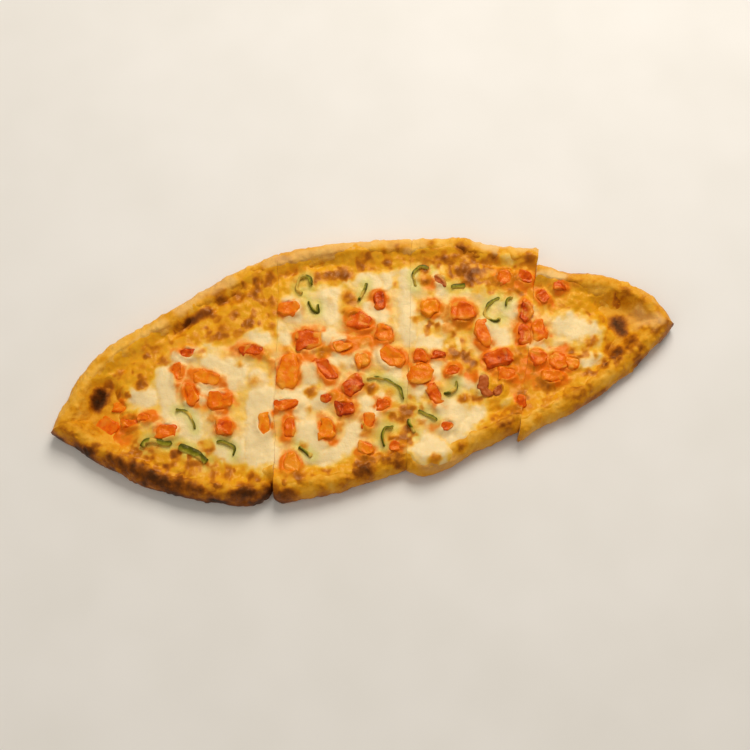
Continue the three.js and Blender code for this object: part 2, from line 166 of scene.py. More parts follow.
# %% Stations of the four slices
STATIONS = [
    [(-178, 1.5, -178, -1.5), (-171, 13, -168, -9), (-157, 32, -152, -24), (-140, 45, -134, -37),
     (-116, 55, -117, -47), (-90, 67, -99, -54), (-62, 78, -82, -59), (-48, 82, -71, -60.5),
     (-35, 84.5, -61, -56)],
    [(-34.4, 85, -60.4, -61), (-10, 86, -38, -62.5), (14, 84, -13, -61), (43.6, 80, 14, -57)],
    [(44.2, 79.5, 14.6, -57.5), (58, 77.5, 24, -61.5), (73, 76, 38, -60), (86, 69.5, 52, -54),
     (100, 64.5, 66, -50), (116, 61, 81, -47)],
    [(113.3, 50.5, 79.9, -52.5), (126, 44.5, 96, -46), (142, 39, 116, -40), (158, 33, 137, -31),
     (170, 25, 155, -21.5), (179, 13.5, 171, -10.5), (183, 1.5, 183, -1.5)],
]
TIP_X = [-178, None, None, 183]


def curve_through(points, u):
    """Points at shares u along the smooth curve through a row of points."""
    p = np.asarray(points, float)
    p = np.vstack([2 * p[0] - p[1], p, 2 * p[-1] - p[-2]])
    t = np.clip(u, 0, 1) * (len(points) - 1)
    i = np.minimum(t.astype(int), len(points) - 2)
    w = (t - i)[:, None]
    before, start, end, after = p[i], p[i + 1], p[i + 2], p[i + 3]
    m0, m1 = 0.5 * (end - before), 0.5 * (after - start)
    cubic = (2 * start - 2 * end + m0 + m1) * w**3 + (3 * end - 3 * start - 2 * m0 - m1) * w**2
    return cubic + m0 * w + start


SOFT_CORNER = (1.6, 0.8)
TIP_SOFT = 3.5  # over how many millimetres the outline narrows into its rounded tip
CORNERS = {(0, "near", 1): (7, 4.2), (1, "near", 0): (4.5, 2.0)}


def edges_at(number, u):
    """The far and the near edge of slice `number` (from 0) at shares u of its length."""
    rows = np.array(STATIONS[number], float)
    far_edge, near_edge = curve_through(rows[:, :2], u), curve_through(rows[:, 2:], u)
    across_it = far_edge - near_edge
    across_it /= np.maximum(np.hypot(*across_it.T), 1e-6)[:, None]
    middle = 0.5 * (far_edge + near_edge)
    for side, edge, inward in (("far", far_edge, -1), ("near", near_edge, 1)):
        for end in (0, 1):
            if (number, end) in ((0, 0), (3, 1)):
                t = np.clip(np.abs(middle[:, 0] - TIP_X[number]) / TIP_SOFT, 0.06, 1)
                edge -= (edge - middle) * (1 - np.sqrt(1 - (1 - t) ** 2))[:, None]
                continue
            reach, depth = CORNERS.get((number, side, end), SOFT_CORNER)
            t = np.clip(1 - np.hypot(*(edge - edge[-end]).T) / reach, 0, 1)
            edge += across_it * (inward * depth * (1 - np.sqrt(1 - t**2)))[:, None]
    return far_edge, near_edge


EDGE_LINES = [edges_at(n, np.linspace(0, 1, 110)) for n in range(4)]


def edge_distance(number, x, y):
    """Distance from points to the outline of a slice, without its cut faces."""
    best = np.full(np.shape(x), 1e9)
    for line in EDGE_LINES[number]:
        for a, b in zip(line[:-1], line[1:]):
            run = b - a
            t = np.clip(((x - a[0]) * run[0] + (y - a[1]) * run[1]) / (run @ run), 0, 1)
            best = np.minimum(best, np.hypot(x - a[0] - t * run[0], y - a[1] - t * run[1]))
    return best


def tip_distance(number, x, y):
    """Distance to the pinched tip of a slice, or a long way where it has none."""
    return np.hypot(x - TIP_X[number], y) if TIP_X[number] else np.full(np.shape(x), 1e3)


far, near = EDGE_LINES[1]
print("widest place", round(float((far[:, 1] - near[:, 1]).max()), 1), "mm")

# %% [markdown]
# ## Where things lie on it
# The places of the toppings are the same as in the solids. A chunk has the number of its slice, x,
# y, length, width and turn, and a strip of pepper has its slice, its width and the points that it
# runs through. Every number but the slice and the turn is in millimetres. The scraps are too small
# to be solids of their own, and the covered ones are only felt as lumps under the cheese.

# %% Tomato, sausage and pepper
TOMATOES = [
    (1, -148, -3, 15, 13, 50), (1, -114, -12, 12, 8, -10), (1, -87, 15, 15, 8, -20),
    (1, -97, 7, 13, 8, 100), (1, -82, 0, 12, 11, -10), (1, -82, -16, 9, 9, -10),
    (1, -59, -18, 12, 8, 75), (1, -60, 27, 14, 6.5, -15), (2, -41, 11, 20, 13, 70),
    (2, -26, 27, 15, 13, -10), (2, -20, 8, 15, 7.5, -67), (2, -34, 48, 11, 9, -10),
    (2, -45, -9, 12, 7, -10), (2, -45.5, -22, 12, 7, 80), (2, -25, -27, 13, 9, 80),
    (2, -48, -43, 12, 9, 80), (2, -8, 20, 13, 7.5, -10), (2, 4, 33, 15, 10, -30),
    (2, 17, 23, 11, 9.5, 80), (2, 1.5, 9, 9, 8.5, -10), (2, 18, 44, 11, 8, -90),
    (2, -6, -4, 13, 10, 50), (2, -13, -17, 11, 8, -10), (2, 19, 8, 14, 11, -30),
    (3, 33, -5, 13, 12, -10), (3, 38.5, -18, 13, 7, -79), (3, 46.5, 34, 11, 10, -10),
    (3, 63.5, 28, 14, 12, -10), (3, 72.5, 13, 16, 8, -86), (3, 78, -3.5, 17, 10, 5),
    (3, 81, -13, 10, 8, -10), (3, 99.5, 22, 11, 8, 70), (3, 96, 8, 12, 8, 80),
    (4, 104.5, 8, 13, 8, 80), (4, 100.5, -7, 9.5, 9, -10), (4, 111, -10.5, 10, 10, -10),
    (4, 106, -20, 11, 7.5, -10),
]
RIPENESS = [
    0.30, 0.45, 0.15, 0.35, 0.30, 0.55, 0.20, 0.75, 0.20, 0.60, 0.65, 0.30, 0.50, 0.45, 0.10,
    0.10, 0.25, 0.60, 0.30, 0.15, 0.75, 0.75, 0.85, 0.30, 0.25, 0.60, 0.00, 0.50, 0.40, 0.65,
    0.40, 0.75, 0.70, 0.35, 0.55, 0.40, 0.25,
]
SAUSAGE = [(3, 55, 49.5, 9, 6, -40), (3, 66.5, -18, 14, 6.5, -90), (3, 74, -22, 8, 6, 60)]
SCRAPS = [
    (1, -139, 9, 8, 6, -10), (1, -134, -3, 9, 5, -10), (1, -125, -2, 8, 5, -10),
    (1, -96, 32, 9, 6, -10), (1, -103, 22, 12, 4.5, 84), (2, -22, -9, 7, 5, -10),
    (2, 8, -19, 8, 7, -10), (2, -1, -27, 8, 7, 80), (2, -5.5, -42, 8, 8, -10),
    (2, 10.5, -44, 7, 6, -10), (3, 35, 6, 8, 8, -10), (3, 44.5, 5, 7, 5, -10),
    (3, 51, -6, 7, 6, -10), (3, 41.5, -37, 8, 5, -10), (3, 92, 45, 9, 8, -10),
    (3, 104, 42, 9, 7, -40), (3, 85, -31, 9, 5, 75), (4, 119, -14, 9, 8, -10),
    (4, 111, 29, 9, 7, -57), (4, 122, 33, 8, 6, -10),
]
PEPPERS = [
    (1, 2.0, [(-107, -1), (-102, -2), (-99, -7), (-98, -14)]),
    (1, 4.2, [(-128, -19), (-125, -16), (-120, -17), (-111, -20)]),
    (1, 5.5, [(-108, -22), (-103, -25), (-97, -30), (-94, -34)]),
    (1, 1.8, [(-87, -23), (-82, -24.5), (-78, -28), (-79, -33)]),
    (2, 2.4, [(-25, 56), (-28, 60), (-25, 66), (-20, 65), (-19.5, 60)]),
    (2, 2.0, [(-23, 51), (-21, 45), (-18, 43.5), (-17.5, 48)]),
    (2, 2.0, [(2, -2), (8, -2), (14, -5), (19, -10), (21, -18)]),
    (2, 2.0, [(12, -32), (6.5, -33), (4.5, -38), (5, -43)]),
    (3, 2.0, [(27.5, -25), (32, -28.5), (37, -33)]),
    (3, 2.2, [(43, -18.5), (47, -18), (51, -16), (52, -12)]),
    (3, 2.4, [(40, 48), (40, 56), (45, 60), (50, 58)]),
    (3, 2.2, [(87, 33), (81, 31), (77, 27), (77, 22), (81, 19.5), (85, 20.5)]),
]
PEPPER_SCRAPS = [
    (2, 2.4, [(12.5, 56), (10, 51), (6, 46)]),
    (3, 2.6, [(21.5, -29), (21.5, -33), (23, -38)]),
    (3, 2.8, [(60, 44.5), (64, 44.5), (69, 43.5)]),
    (3, 1.8, [(89, 27), (91, 30.5), (95, 31.5)]),
    (2, 3.0, [(-42, -34), (-39, -37.5), (-36, -41)]),
]
COVERED = [
    (2, -0.6, 38.6, 8, 7, 0), (3, 53.7, 29.5, 11, 8, 80), (3, 46, 53.5, 7, 5.7, 0),
    (2, -18, -26.7, 8, 5, 80), (2, 5, -8.3, 5.7, 4.6, 80), (2, -15.8, -10, 8, 7, 0),
    (2, -4, -33.5, 7, 5.7, 0), (2, 4.6, 20.4, 10, 6.3, 0), (1, -87.5, -9.3, 6, 5, 0),
    (1, -50, 18.8, 13.7, 4.6, -76), (3, 108.7, 32, 8, 7, -57), (3, 54, 20, 7, 5, 80),
]
print(len(TOMATOES), "tomato dice,", len(PEPPERS), "pepper strips,", len(SAUSAGE), "sausage bits")

# %% [markdown]
# The oven leaves a map of its own: pools of white cheese, a golden band round them, and brown or
# black spots where a bubble stood up and burned. We could paint an image, but lists of places are
# easier to change and need no file. A pool, a streak and a pale or yellow place are short strokes:
# two ends and a radius. The yellow places hardly browned, and are also painted light on the shaded
# inner slope of the rim. A spot or a golden patch is a place and a radius. The last number of all
# but the pools says how strong it is. The white middle is a line that goes once round the part of
# the cheese that stayed pale.

# %% Pools of white cheese, and spots that browned
POOLS = [
    (-130, 8.5, -123, 11, 5.8), (-110, 23, -111, -9, 4.6), (-93, 31, -71, 16, 4.6),
    (-89, 9, -83, 6.5, 3.4), (-101.5, -7.5, -100.5, -12.5, 6.9), (-85, -29, -84, -31.5, 4.6),
    (-81.5, 25, -68, 16.5, 3.4), (-58.5, 8.5, -58.5, 8.5, 6.3), (-58, -2.5, -62, -21, 8),
    (-64, -26, -64, -39, 8.6), (-56, 36.5, -52.5, 33, 4.6), (-33, 49.5, -32.5, 44.5, 5.1),
    (-41.5, 38.5, -41.5, 36, 2.9), (-10, 50.5, -11, 41.5, 5.7), (-15, 27, -10.5, 24, 4.6),
    (-40, 31.5, -39, 29, 3.4), (-13, 13, -6, 10, 4), (-30, 9.5, -28.5, 4, 4.6),
    (-35, -5, -27.5, -8, 6.3), (-47.5, -2.5, -37, -5, 4), (-35.5, -25.5, -34.5, -40.5, 6.3),
    (-28.5, -43.5, -17, -40.5, 5.1), (-12.5, -36, -10.5, -30.5, 4.6), (13, 59.5, 16.5, 55.5, 4.6),
    (24.5, 58, 24.5, 53, 3.4), (10.5, 40.5, 16.5, 35.5, 4.6), (37.5, 58, 30, 18, 4),
    (11.5, 13, 17.5, 3, 4.6), (19, -1, 14, -3, 4), (-1, -14.5, 0, -16.5, 3.4),
    (56, 56, 54.5, 42.5, 3.4), (37.5, 15.5, 46, 12, 4), (76.5, 19.5, 82, 8.5, 5.1),
    (91.5, 26.5, 92, 23, 4), (77.5, 39.5, 79.5, 37.5, 2.3), (95.5, 56.5, 96, 55, 3.4),
    (42, -1.5, 41, -7.5, 3.4), (52, -10.5, 58, -15.5, 3.4), (43, -28, 60, -33.5, 6.9),
    (42.5, -40, 51, -44, 6.9), (27.5, -46.5, 33.5, -51, 6.9), (27, -33.5, 27, -36, 4),
    (122, 10.5, 130.5, 4.5, 6.8), (134.5, 1.5, 138, 3, 5.1), (125, -13, 136.5, -14, 4.6),
    (96.5, 1, 108, -2, 2.3), (48, 24.5, 48, 22, 2.3), (-38, -15, -37, -14, 4),
    (74, -29, 79, -27, 2.6), (-76, -30, -75, -27, 3.4), (-73, 7, -72, 12, 3.4),
    (120, -14.5, 122, -15.5, 3),
    (-104, 31, -100, 28, 3.4), (-100, -1, -98, -3, 3), (-92, 2.5, -91, 3.5, 2.6),
    (8, -14, 9, -13, 3), (29, -13, 31, -13, 3), (0, -21, 2, -22, 3.4),
]
GOLDEN = [
    (20, -25, 7, 1), (18, -38, 6, 1), (55, 4, 7, 1), (62, -1, 6, 1), (129, -8, 6, 0.9),
    (44, 22, 5, 0.8), (-109, -29, 8, 1), (-94, -27, 6, 0.7), (141, -17, 7, 0.9), (130, -1, 4, 0.6),
    (64, 57, 7, 1), (62, -25, 5, 0.7), (11, -37, 5, 0.8), (56, 12, 6, 0.6), (24, -20, 4, 0.6),
    (26, -33, 5, 0.6), (9, -51, 6, 0.8), (-88, 31, 4, 0.5), (14, -24, 6, 0.8), (148, -12, 5, 0.9),
    (122, -8, 6, 0.8), (-91, -38, 7, 0.8), (78, 54, 7, 0.9), (0, 46, 5, 0.8), (156, -13, 6, 0.9),
    (-155, -14, 5, 1), (-129, -26, 6, 1), (58, 58, 5, 0.8), (66, -40, 6, 0.8), (55, -24, 5, 0.6),
    (31, -22, 4, 0.5), (38, 31, 5, 0.7), (134, 14, 5, 0.7), (120, 18, 4, 0.5),
]
WHITE_MIDDLE = [
    (-134, 13), (-129, 17), (-117.5, 23), (-114, 30), (-105.5, 37.5), (-83.5, 36), (-75.5, 35.5),
    (-68.5, 37), (-59.5, 38.5), (-44.5, 38), (-40.5, 47.5), (-36, 59), (-28.5, 59), (-14, 61),
    (-1, 58.5), (6.5, 64), (28, 61), (37.5, 61), (40, 58), (56, 60), (57.5, 46.5), (69.5, 42.5),
    (78, 38), (86, 36.5), (91.5, 29), (97, 30.5), (106, 25), (114.5, 19.5), (123.5, 20),
    (132, 16.5), (139.5, 10.5), (139.5, -2.5), (135, -8.5), (137, -13), (135, -20), (128, -19),
    (123, -14.5), (109, -3), (91.5, 0), (80, -1), (75.5, -11.5), (69.5, -18.5), (68.5, -29),
    (64, -38), (54.5, -45), (44.5, -49), (40.5, -55.5), (37, -60.5), (22.5, -59.5), (17, -52),
    (12.5, -49), (-0.5, -45), (-13, -43.5), (-22, -46.5), (-32.5, -46.5), (-43, -43.5),
    (-55, -44), (-71.5, -40), (-81, -36), (-92, -32.5), (-109, -26.5), (-118.5, -22),
    (-130, -13), (-129, 3.5),
]
STREAKS = [
    (-94, 49.5, -80, 55.5, 2.1, 0.8), (-151, 11, -147, 17, 2.6, 0.8),
    (-140, -27, -118, -41, 3.6, 0.5), (-164, -12, -142, -28, 2.6, 0.35), (-116, -45, -90, -54, 2.6, 0.4),
    (-66, 58, -44, 66, 1.8, 0.35), (-16, 66, 4, 63, 2.4, 0.35), (-84, -54, -48, -61, 1.8, 0.4),
    (-128, 34, -112, 41, 2.4, 0.25), (66, 62, 76, 63, 2.0, 0.3),
]
PALE = [
    (24, -57, 44, -57, 2.6, 0.35), (-40, 79, 22, 79, 3.5, 0.5),
    (-96, 59, -66, 73, 3.5, 0.5), (84, 69, 92, 66, 4.5, 0.9), (162, 8, 171, 3, 4, 0.5),
    (104, 62, 112, 58, 3, 0.5), (-125, 40, -108, 50, 3, 0.3), (20, 78, 50, 76, 3, 0.3),
    (112, 41, 124, 37, 3, 0.85), (39, 69, 50, 67, 2.6, 0.35), (-136, -12, -131, -11, 3, 0.5),
    (120, 30, 127, 28, 3.5, 0.6), (-36, 74, -28, 75, 3, 0.4),
]
# Yellow strokes: crust that hardly browned, made lighter still as painted light on the shaded inner
# slope.
YELLOW_AND_PAINTED_LIGHT = [(-151, 27, -137, 37, 4.2, 0.9), (118, 39, 126, 31, 3.6, 0.8)]
SPOTS = [
    (-147, 17, 4.2, 0.95), (-151, 11.5, 3.6, 0.95), (-135.5, 28, 2.3, 0.4), (-124.5, 18.5, 3.4, 0.7),
    (-133, 13.5, 1.7, 0.5), (-119, 35, 1.7, 0.55), (-110, 30, 3.4, 0.45), (-98.5, 47.5, 2.6, 0.35),
    (-90.5, 51.5, 2.0, 0.7), (-85.5, 53.5, 2.0, 0.7), (-80.5, 55, 1.8, 0.6), (-71.5, 60.5, 2.6, 0.5),
    (-63.5, 63, 2.3, 0.5), (-52, 61, 2, 0.45), (-75, 40.5, 4.9, 0.45), (-65.5, 50.5, 1.7, 0.45),
    (-58.5, 44, 3.1, 0.45), (-75.5, 27, 4, 0.18), (-68, 20.5, 2.3, 0.3), (-58, 67.5, 2, 0.5),
    (-50.5, 68, 2, 0.45), (-41, 68.5, 3, 0.6), (-36, 70.5, 2, 0.2), (-43.5, 54, 3.7, 0.55),
    (-43.5, 46.5, 2.6, 0.5), (-46, 39.5, 2.6, 0.5), (-14.5, 66, 2, 0.35), (-9, 65, 2, 0.35),
    (-4, 63.5, 2.3, 0.45), (1, 62.5, 2.6, 0.65), (1.5, 67.5, 2.6, 0.4), (-146, -21, 2.9, 0.7),
    (-134.5, -30.5, 4.2, 0.8), (-125, -36.5, 4.2, 0.8), (-104.5, -45.5, 2.6, 0.6),
    (-99.5, -48, 2.3, 0.65), (-91.5, -48, 2.6, 0.6), (-83.5, -43, 3.1, 0.6), (-70, -46.5, 2.9, 0.65),
    (-74.5, -51.5, 2.3, 0.6), (-78.5, -55, 3.1, 0.8), (-73, -56, 3.1, 0.8), (-63, -55, 4, 0.75),
    (-55, -59, 4, 0.7), (-44.5, -53, 2.6, 0.45), (-30.5, -3.5, 3.4, 0.5), (-60.5, 8, 4.3, 0.28),
    (-33, -13.5, 2.6, 0.25), (-7.5, -54, 4.9, 0.85), (1.5, -49, 3.4, 0.5), (30.5, -56, 3.1, 0.55),
    (47, -50, 2.3, 0.4), (11.5, 68.5, 2.3, 0.45), (15.5, 72, 2.3, 0.35), (25.5, 73.5, 2.3, 0.35),
    (34.5, 74, 2, 0.4), (27, 66, 2, 0.4), (34, 67.5, 2, 0.35), (53.5, 73.5, 2.6, 0.5),
    (60, 64, 2.3, 0.5), (71, 67, 3.1, 0.75), (68, 53.5, 2.6, 0.6), (72.5, 45.5, 2.6, 0.8),
    (88.5, 59, 3.4, 0.5), (90.5, 46, 2.9, 0.35), (107.5, 53.5, 2.6, 0.4), (96.5, 35, 2.6, 0.3),
    (0.5, 49.5, 4.2, 0.42), (63, 25.5, 6.9, 0.35), (54.5, -23.5, 2.3, 0.5), (93, -43, 2.6, 0.4),
    (101.5, -26.5, 2, 0.35), (87, -14.5, 1.1, 0.5), (158.5, 21, 4.6, 0.5), (148, 23, 3, 0.2),
    (151.5, 7, 4.4, 0.95), (153.5, 1.5, 3.4, 0.9), (156, -5.5, 3.4, 0.8), (145.5, -10.5, 3.6, 0.9),
    (135.5, -1.5, 2.6, 0.4), (129, -2.5, 2.6, 0.2), (127, -20.5, 2.3, 0.4), (125.5, -30, 2, 0.35),
    (-118, -40, 3.4, 0.7), (-111, -43.5, 3.1, 0.75), (-141, -25, 3.1, 0.7), (-33.5, -61, 2.6, 0.4),
    (-23, -60, 2.6, 0.35), (13.8, -11.7, 3.2, 0.25), (3.4, -7.8, 3.2, 0.6),
    (-40.5, -34.4, 2.6, 0.35), (-46, -51, 2.8, 0.45), (-3.8, -29.4, 3, 0.35), (47, 58, 3, 0.5),
    (46.2, 50.6, 2.4, 0.5), (90.4, 42.5, 3, 0.3), (-141.7, 22.3, 2.4, 0.4), (-10.2, 9.1, 3, 0.2),
    (-39.6, 23.7, 2.4, 0.2), (-45, 34, 2.4, 0.25), (29, 52, 2.0, 0.3), (22, 30, 2.4, 0.16),
    (20, -25, 3.6, 0.5), (54, 4, 3.4, 0.45), (65, 56, 3.2, 0.45), (-12, -54, 3.2, 0.55),
    (-91, -40, 3.2, 0.35), (-10, 49.5, 2.2, 0.15), (66, 16.7, 2.6, 0.15), (49, 20, 2.6, 0.15),
    (-20, 18.5, 3.4, 0.5), (-121, -20.5, 3.4, 0.3), (70, 48.5, 3, 0.5), (48, 44, 3, 0.25),
    (147, -19, 3, 0.35), (16, 65, 3, 0.3),
]
print(len(POOLS), "pools and", len(SPOTS), "spots")

# %% [markdown]
# ## Heights
# From the outline inwards the dough rises to the crest of the rim and falls again to a thin floor.
# Over the floor lies the cheese, about as thick as the floor itself, and it thins out on the inner
# slope of the rim. These profiles are the same as in the solids. The fine relief is added on top:
# bubbles, the crease where the edge was folded in, and the cheese that climbs up round a topping.
# Two waves along the rim let its crest rise and fall, since no hand rolls it evenly.

# %% Profile of the dough
FLOOR, CREST, CREST_WAVE, EDGE = 5, 13.5, 1.3, 4.5
CREST_IN, FLOOR_IN, UNDERCUT = 7.5, 18, 3
TIP_LIFT, TIP_REACH, TIP_FILL = 2, 30, 4
LONG_WAVE, LONG_PHASE = 21, 1.7
SHORT_WAVE, SHORT_PHASE, SHORT_SHARE = 8.3, 0.9, 0.6
SIDES_MEET = 8  # within this distance of the middle line, one rim's wave gives way to the other's


def dough_height(number, x, y, d):
    """Height of the plain dough at points whose distance to the outline is d."""
    near_wave, far_wave = (np.sin(x / LONG_WAVE + side * LONG_PHASE)
                           + SHORT_SHARE * np.sin(x / SHORT_WAVE + side * SHORT_PHASE)
                           for side in (-1, 1))
    wave = near_wave + (far_wave - near_wave) * smooth((y / SIDES_MEET + 1) / 2)
    crest = CREST + CREST_WAVE * 0.7 * wave
    close_to_tip = smooth(1 - tip_distance(number, x, y) / TIP_REACH)
    crest = crest + TIP_LIFT * close_to_tip
    outer = np.sqrt(np.clip(1 - (1 - np.clip(d / CREST_IN, 0, 1)) ** 2, 0, 1))
    t = np.clip((d - CREST_IN) / (FLOOR_IN - CREST_IN), 0, 1)
    inner = FLOOR + (crest - FLOOR) * 0.5 * (1 + np.cos(np.pi * t)) + TIP_FILL * t * close_to_tip
    return np.where(d < CREST_IN, EDGE + (crest - EDGE) * outer, inner)


print("crest about", CREST, "mm, floor", FLOOR, "mm")

# %% [markdown]
# The next functions turn the lists of spots and golden patches into maps: for any point they say
# how browned it is. A bubble that browned also stands up a little, so the same spots give a height.

# %% Maps of the browning
SPOT_EDGE = [(3.1, 0.9), (1.3, 0.4)]
GOLDEN_EDGE = [(5, 2.2), (2.2, 0.9)]
BUBBLE_SHARE, BUBBLE_MOST = 0.28, 0.9  # a bubble's height as a share of its radius, and the limit


def stroke_gap(x, y, x1, y1, x2, y2):
    """Distance to a straight stroke from (x1, y1) to (x2, y2)."""
    run = np.array([x2 - x1, y2 - y1]) + 1e-6
    t = np.clip(((x - x1) * run[0] + (y - y1) * run[1]) / (run @ run), 0, 1)
    return np.hypot(x - x1 - t * run[0], y - y1 - t * run[1])


def spot_map(x, y):
    """How browned each point is by the spots, and how much it is raised by their bubbles."""
    brown = np.zeros(np.shape(x))
    raised = np.zeros(np.shape(x))
    wx, wy = ragged(x, y, SPOT_EDGE, 11)
    for sx, sy, radius, dark in SPOTS:
        r = np.hypot(wx - sx, wy - sy) / radius
        brown = 1 - (1 - brown) * (1 - 0.9 * dark * smooth((2.0 - r) / 2.1))
        raised = np.maximum(raised, min(BUBBLE_MOST, BUBBLE_SHARE * radius) * smooth(1.3 - r))
    for x1, y1, x2, y2, radius, dark in STREAKS:
        r = stroke_gap(wx, wy, x1, y1, x2, y2) / radius
        brown = 1 - (1 - brown) * (1 - 0.85 * dark * smooth((1.9 - r) / 1.7))
    return brown, raised


def golden_map(x, y):
    """Where the cheese over the middle turned golden, in ragged patches."""
    wx, wy = ragged(x, y, GOLDEN_EDGE, 101)
    golden = np.zeros(np.shape(x))
    for gx, gy, radius, amount in GOLDEN:
        r = np.hypot(wx - gx, wy - gy) / radius
        golden = np.maximum(golden, amount * smooth((1.5 - r) / 1.1))
    return golden * smooth(0.9 + 0.9 * noise(x, y, 3.2, 105))


print("bubbles stand up to", BUBBLE_MOST, "mm proud")

# %% [markdown]
# The sheet of cheese starts some millimetres inside the outline, thickens over its first
# centimetre and then lies in low mounds. Its border isn't even: in some places it ran over the rim
# and in others it stopped short, and each border shift gives such a place, its radius and by how
# far. Towards a pinched tip the cheese ends in a wavy front.

# %% Profile of the cheese
CHEESE, CHEESE_IN, CHEESE_RAMP, CHEESE_WAVE = 5.5, 9, 9, 0.5
CREST_THIN, TIP_BARE = 0.7, 38
BORDER_WAVE = 1.5
BORDER_EDGE = [(5.5, 1.6), (2.2, 0.7)]
FRONT_EDGE = [(9, 5), (3.5, 1.2)]
POOL_EDGE = [(6.0, 1.7), (2.4, 0.8)]
WHITE_EDGE = [(6, 2.6), (2.6, 1.2)]
BORDER_SHIFTS = [
    (32, -58, 19, 8.5), (-66, -51, 11, 5), (-50, -54, 9, 3.5), (97, 62, 12, 6),
    (112, 56, 10, 6), (-20, 78, 22, -4), (-70, 68, 22, -5),
    (-100, 55, 20, -3), (-140, 25, 16, -3), (70, -46, 14, -3), (95, -44, 14, -3),
    (140, -22, 16, -4), (130, 36, 16, -2), (152, 17, 9, -5), (147, -9, 8, -4), (-146, 31, 9, -5),
]


def pool_map(x, y):
    """1 in the middle of a pool of white cheese, 0 away from the pools, with a ragged edge."""
    wx, wy = ragged(x, y, POOL_EDGE, 21)
    pool = np.zeros(np.shape(x))
    for x1, y1, x2, y2, radius in POOLS:
        gap = stroke_gap(wx, wy, x1, y1, x2, y2)
        pool = np.maximum(pool, smooth((radius + 2.2 - gap) / 5))
    return pool


def white_map(x, y):
    """1 well inside the white middle of the pide, 0 in the golden band round it."""
    corners = np.array(WHITE_MIDDLE, float)
    inside = np.zeros(np.shape(x), bool)
    gap = np.full(np.shape(x), 99.0)
    for (x1, y1), (x2, y2) in zip(corners, np.roll(corners, -1, axis=0)):
        gap = np.minimum(gap, stroke_gap(x, y, x1, y1, x2, y2))
        if y1 != y2:
            crossing = (y1 > y) != (y2 > y)
            inside ^= crossing & (x < x1 + (y - y1) * (x2 - x1) / (y2 - y1))
    signed = np.where(inside, gap, -gap)
    return smooth((signed + 2.5 + layered(x, y, WHITE_EDGE, 25)) / 6)


def chunk_gap(specs, x, y, number):
    """Distance outside the nearest of some chunks on a slice, in millimetres."""
    best = np.full(np.shape(x), 99.0)
    for slice_number, cx, cy, length, width, turn in specs:
        if slice_number != number + 1:
            continue
        a = math.radians(turn)
        lx = (x - cx) * math.cos(a) + (y - cy) * math.sin(a)
        ly = (y - cy) * math.cos(a) - (x - cx) * math.sin(a)
        r = np.hypot(lx / (length / 2), ly / (width / 2))
        best = np.minimum(best, (r - 1) * 0.5 * min(length, width))
    return best


def strip_gap(specs, x, y):
    """Distance to the nearest of some pepper strips, in millimetres."""
    best = np.full(np.shape(x), 99.0)
    for _, wide, path in specs:
        for px, py in curve_through(path, np.linspace(0, 1, 16)):
            best = np.minimum(best, np.hypot(x - px, y - py) - wide / 2)
    return best


def cheese_height(number, x, y, d):
    """Height of the plain sheet of cheese, and how far inside its border each point is."""
    border = CHEESE_IN + BORDER_WAVE * np.sin(x / 6.1 + y / 9)
    for bx, by, radius, shift in BORDER_SHIFTS:
        border = border - shift * smooth(1 - np.hypot(x - bx, y - by) / radius)
    border = border + layered(x, y, BORDER_EDGE, 31)
    front = tip_distance(number, x, y) - TIP_BARE + layered(x, y, FRONT_EDGE, 33)
    inside = np.minimum(d - border, 0.6 * front)
    mound = np.sin(x / 5.7 + 0.6) * np.sin(y / 6.3) + 0.5 * np.sin((x - y) / 3.9)
    full = CHEESE + CHEESE_WAVE * mound
    rise = np.sin(0.5 * np.pi * np.clip(inside / CHEESE_RAMP, 0, 1))
    under = dough_height(number, x, y, d)
    on_rim = np.clip((under - FLOOR) / (CREST - FLOOR), 0, 1)
    depth = np.where(inside > 0, full * rise * (1 - CREST_THIN * on_rim), 0.35 * inside)
    return under + np.maximum(depth, -2.0), inside


print("cheese about", CHEESE, "mm deep")

# %% [markdown]
# ## A closed skin from a grid
# Dough, cheese and pepper strips are all long things with a cross-section. Each could be lofted
# from curves, but a grid gives full control: one direction of the grid runs along the piece and
# the other runs once round its cross-section. We add a grid primitive, move its points onto the
# surface, and merge the doubled points, which closes the seam and the two ends. Then the normals
# are turned outwards.

# %% Helpers that model
MERGE = 0.000001


def select_only(piece):
    """Select one object and make it the active one."""
    bpy.ops.object.select_all(action="DESELECT")
    piece.select_set(True)
    bpy.context.view_layer.objects.active = piece


def closed_skin(name, rings):
    """One closed mesh from rings of points in bench millimetres: rings[row, column] = x, y, z."""
    rows, columns = rings.shape[:2]
    bpy.ops.object.select_all(action="DESELECT")
    bpy.ops.mesh.primitive_grid_add(x_subdivisions=columns - 1, y_subdivisions=rows - 1, size=1)
    piece = bpy.context.object
    piece.name = name
    piece.data.name = name
    piece.data.vertices.foreach_set("co", to_frame(rings.reshape(-1, 3)).ravel())
    piece.data.update()
    bpy.ops.object.mode_set(mode="EDIT")
    bpy.ops.mesh.select_all(action="SELECT")
    bpy.ops.mesh.remove_doubles(threshold=MERGE)
    bpy.ops.mesh.dissolve_degenerate(threshold=MERGE)
    bpy.ops.mesh.normals_make_consistent(inside=False)
    bpy.ops.object.mode_set(mode="OBJECT")
    return piece


def points_of(piece):
    """The piece's points in bench millimetres."""
    flat = np.zeros(len(piece.data.vertices) * 3)
    piece.data.vertices.foreach_get("co", flat)
    return flat.reshape(-1, 3) / MM + BENCH_SHIFT


def write_points(piece, points):
    """Put moved points back into the mesh."""
    piece.data.vertices.foreach_set("co", to_frame(points).ravel())
    piece.data.update()


def normals_of(piece):
    """The direction that each point of the piece faces."""
    flat = np.zeros(len(piece.data.vertices) * 3)
    piece.data.vertices.foreach_get("normal", flat)
    return flat.reshape(-1, 3)


def open_edges(piece):
    """How many edges don't have a face on both sides. A closed piece has none."""
    edges = np.zeros(len(piece.data.loops), dtype=np.int32)
    piece.data.loops.foreach_get("edge_index", edges)
    return int((np.bincount(edges, minlength=len(piece.data.edges)) != 2).sum())


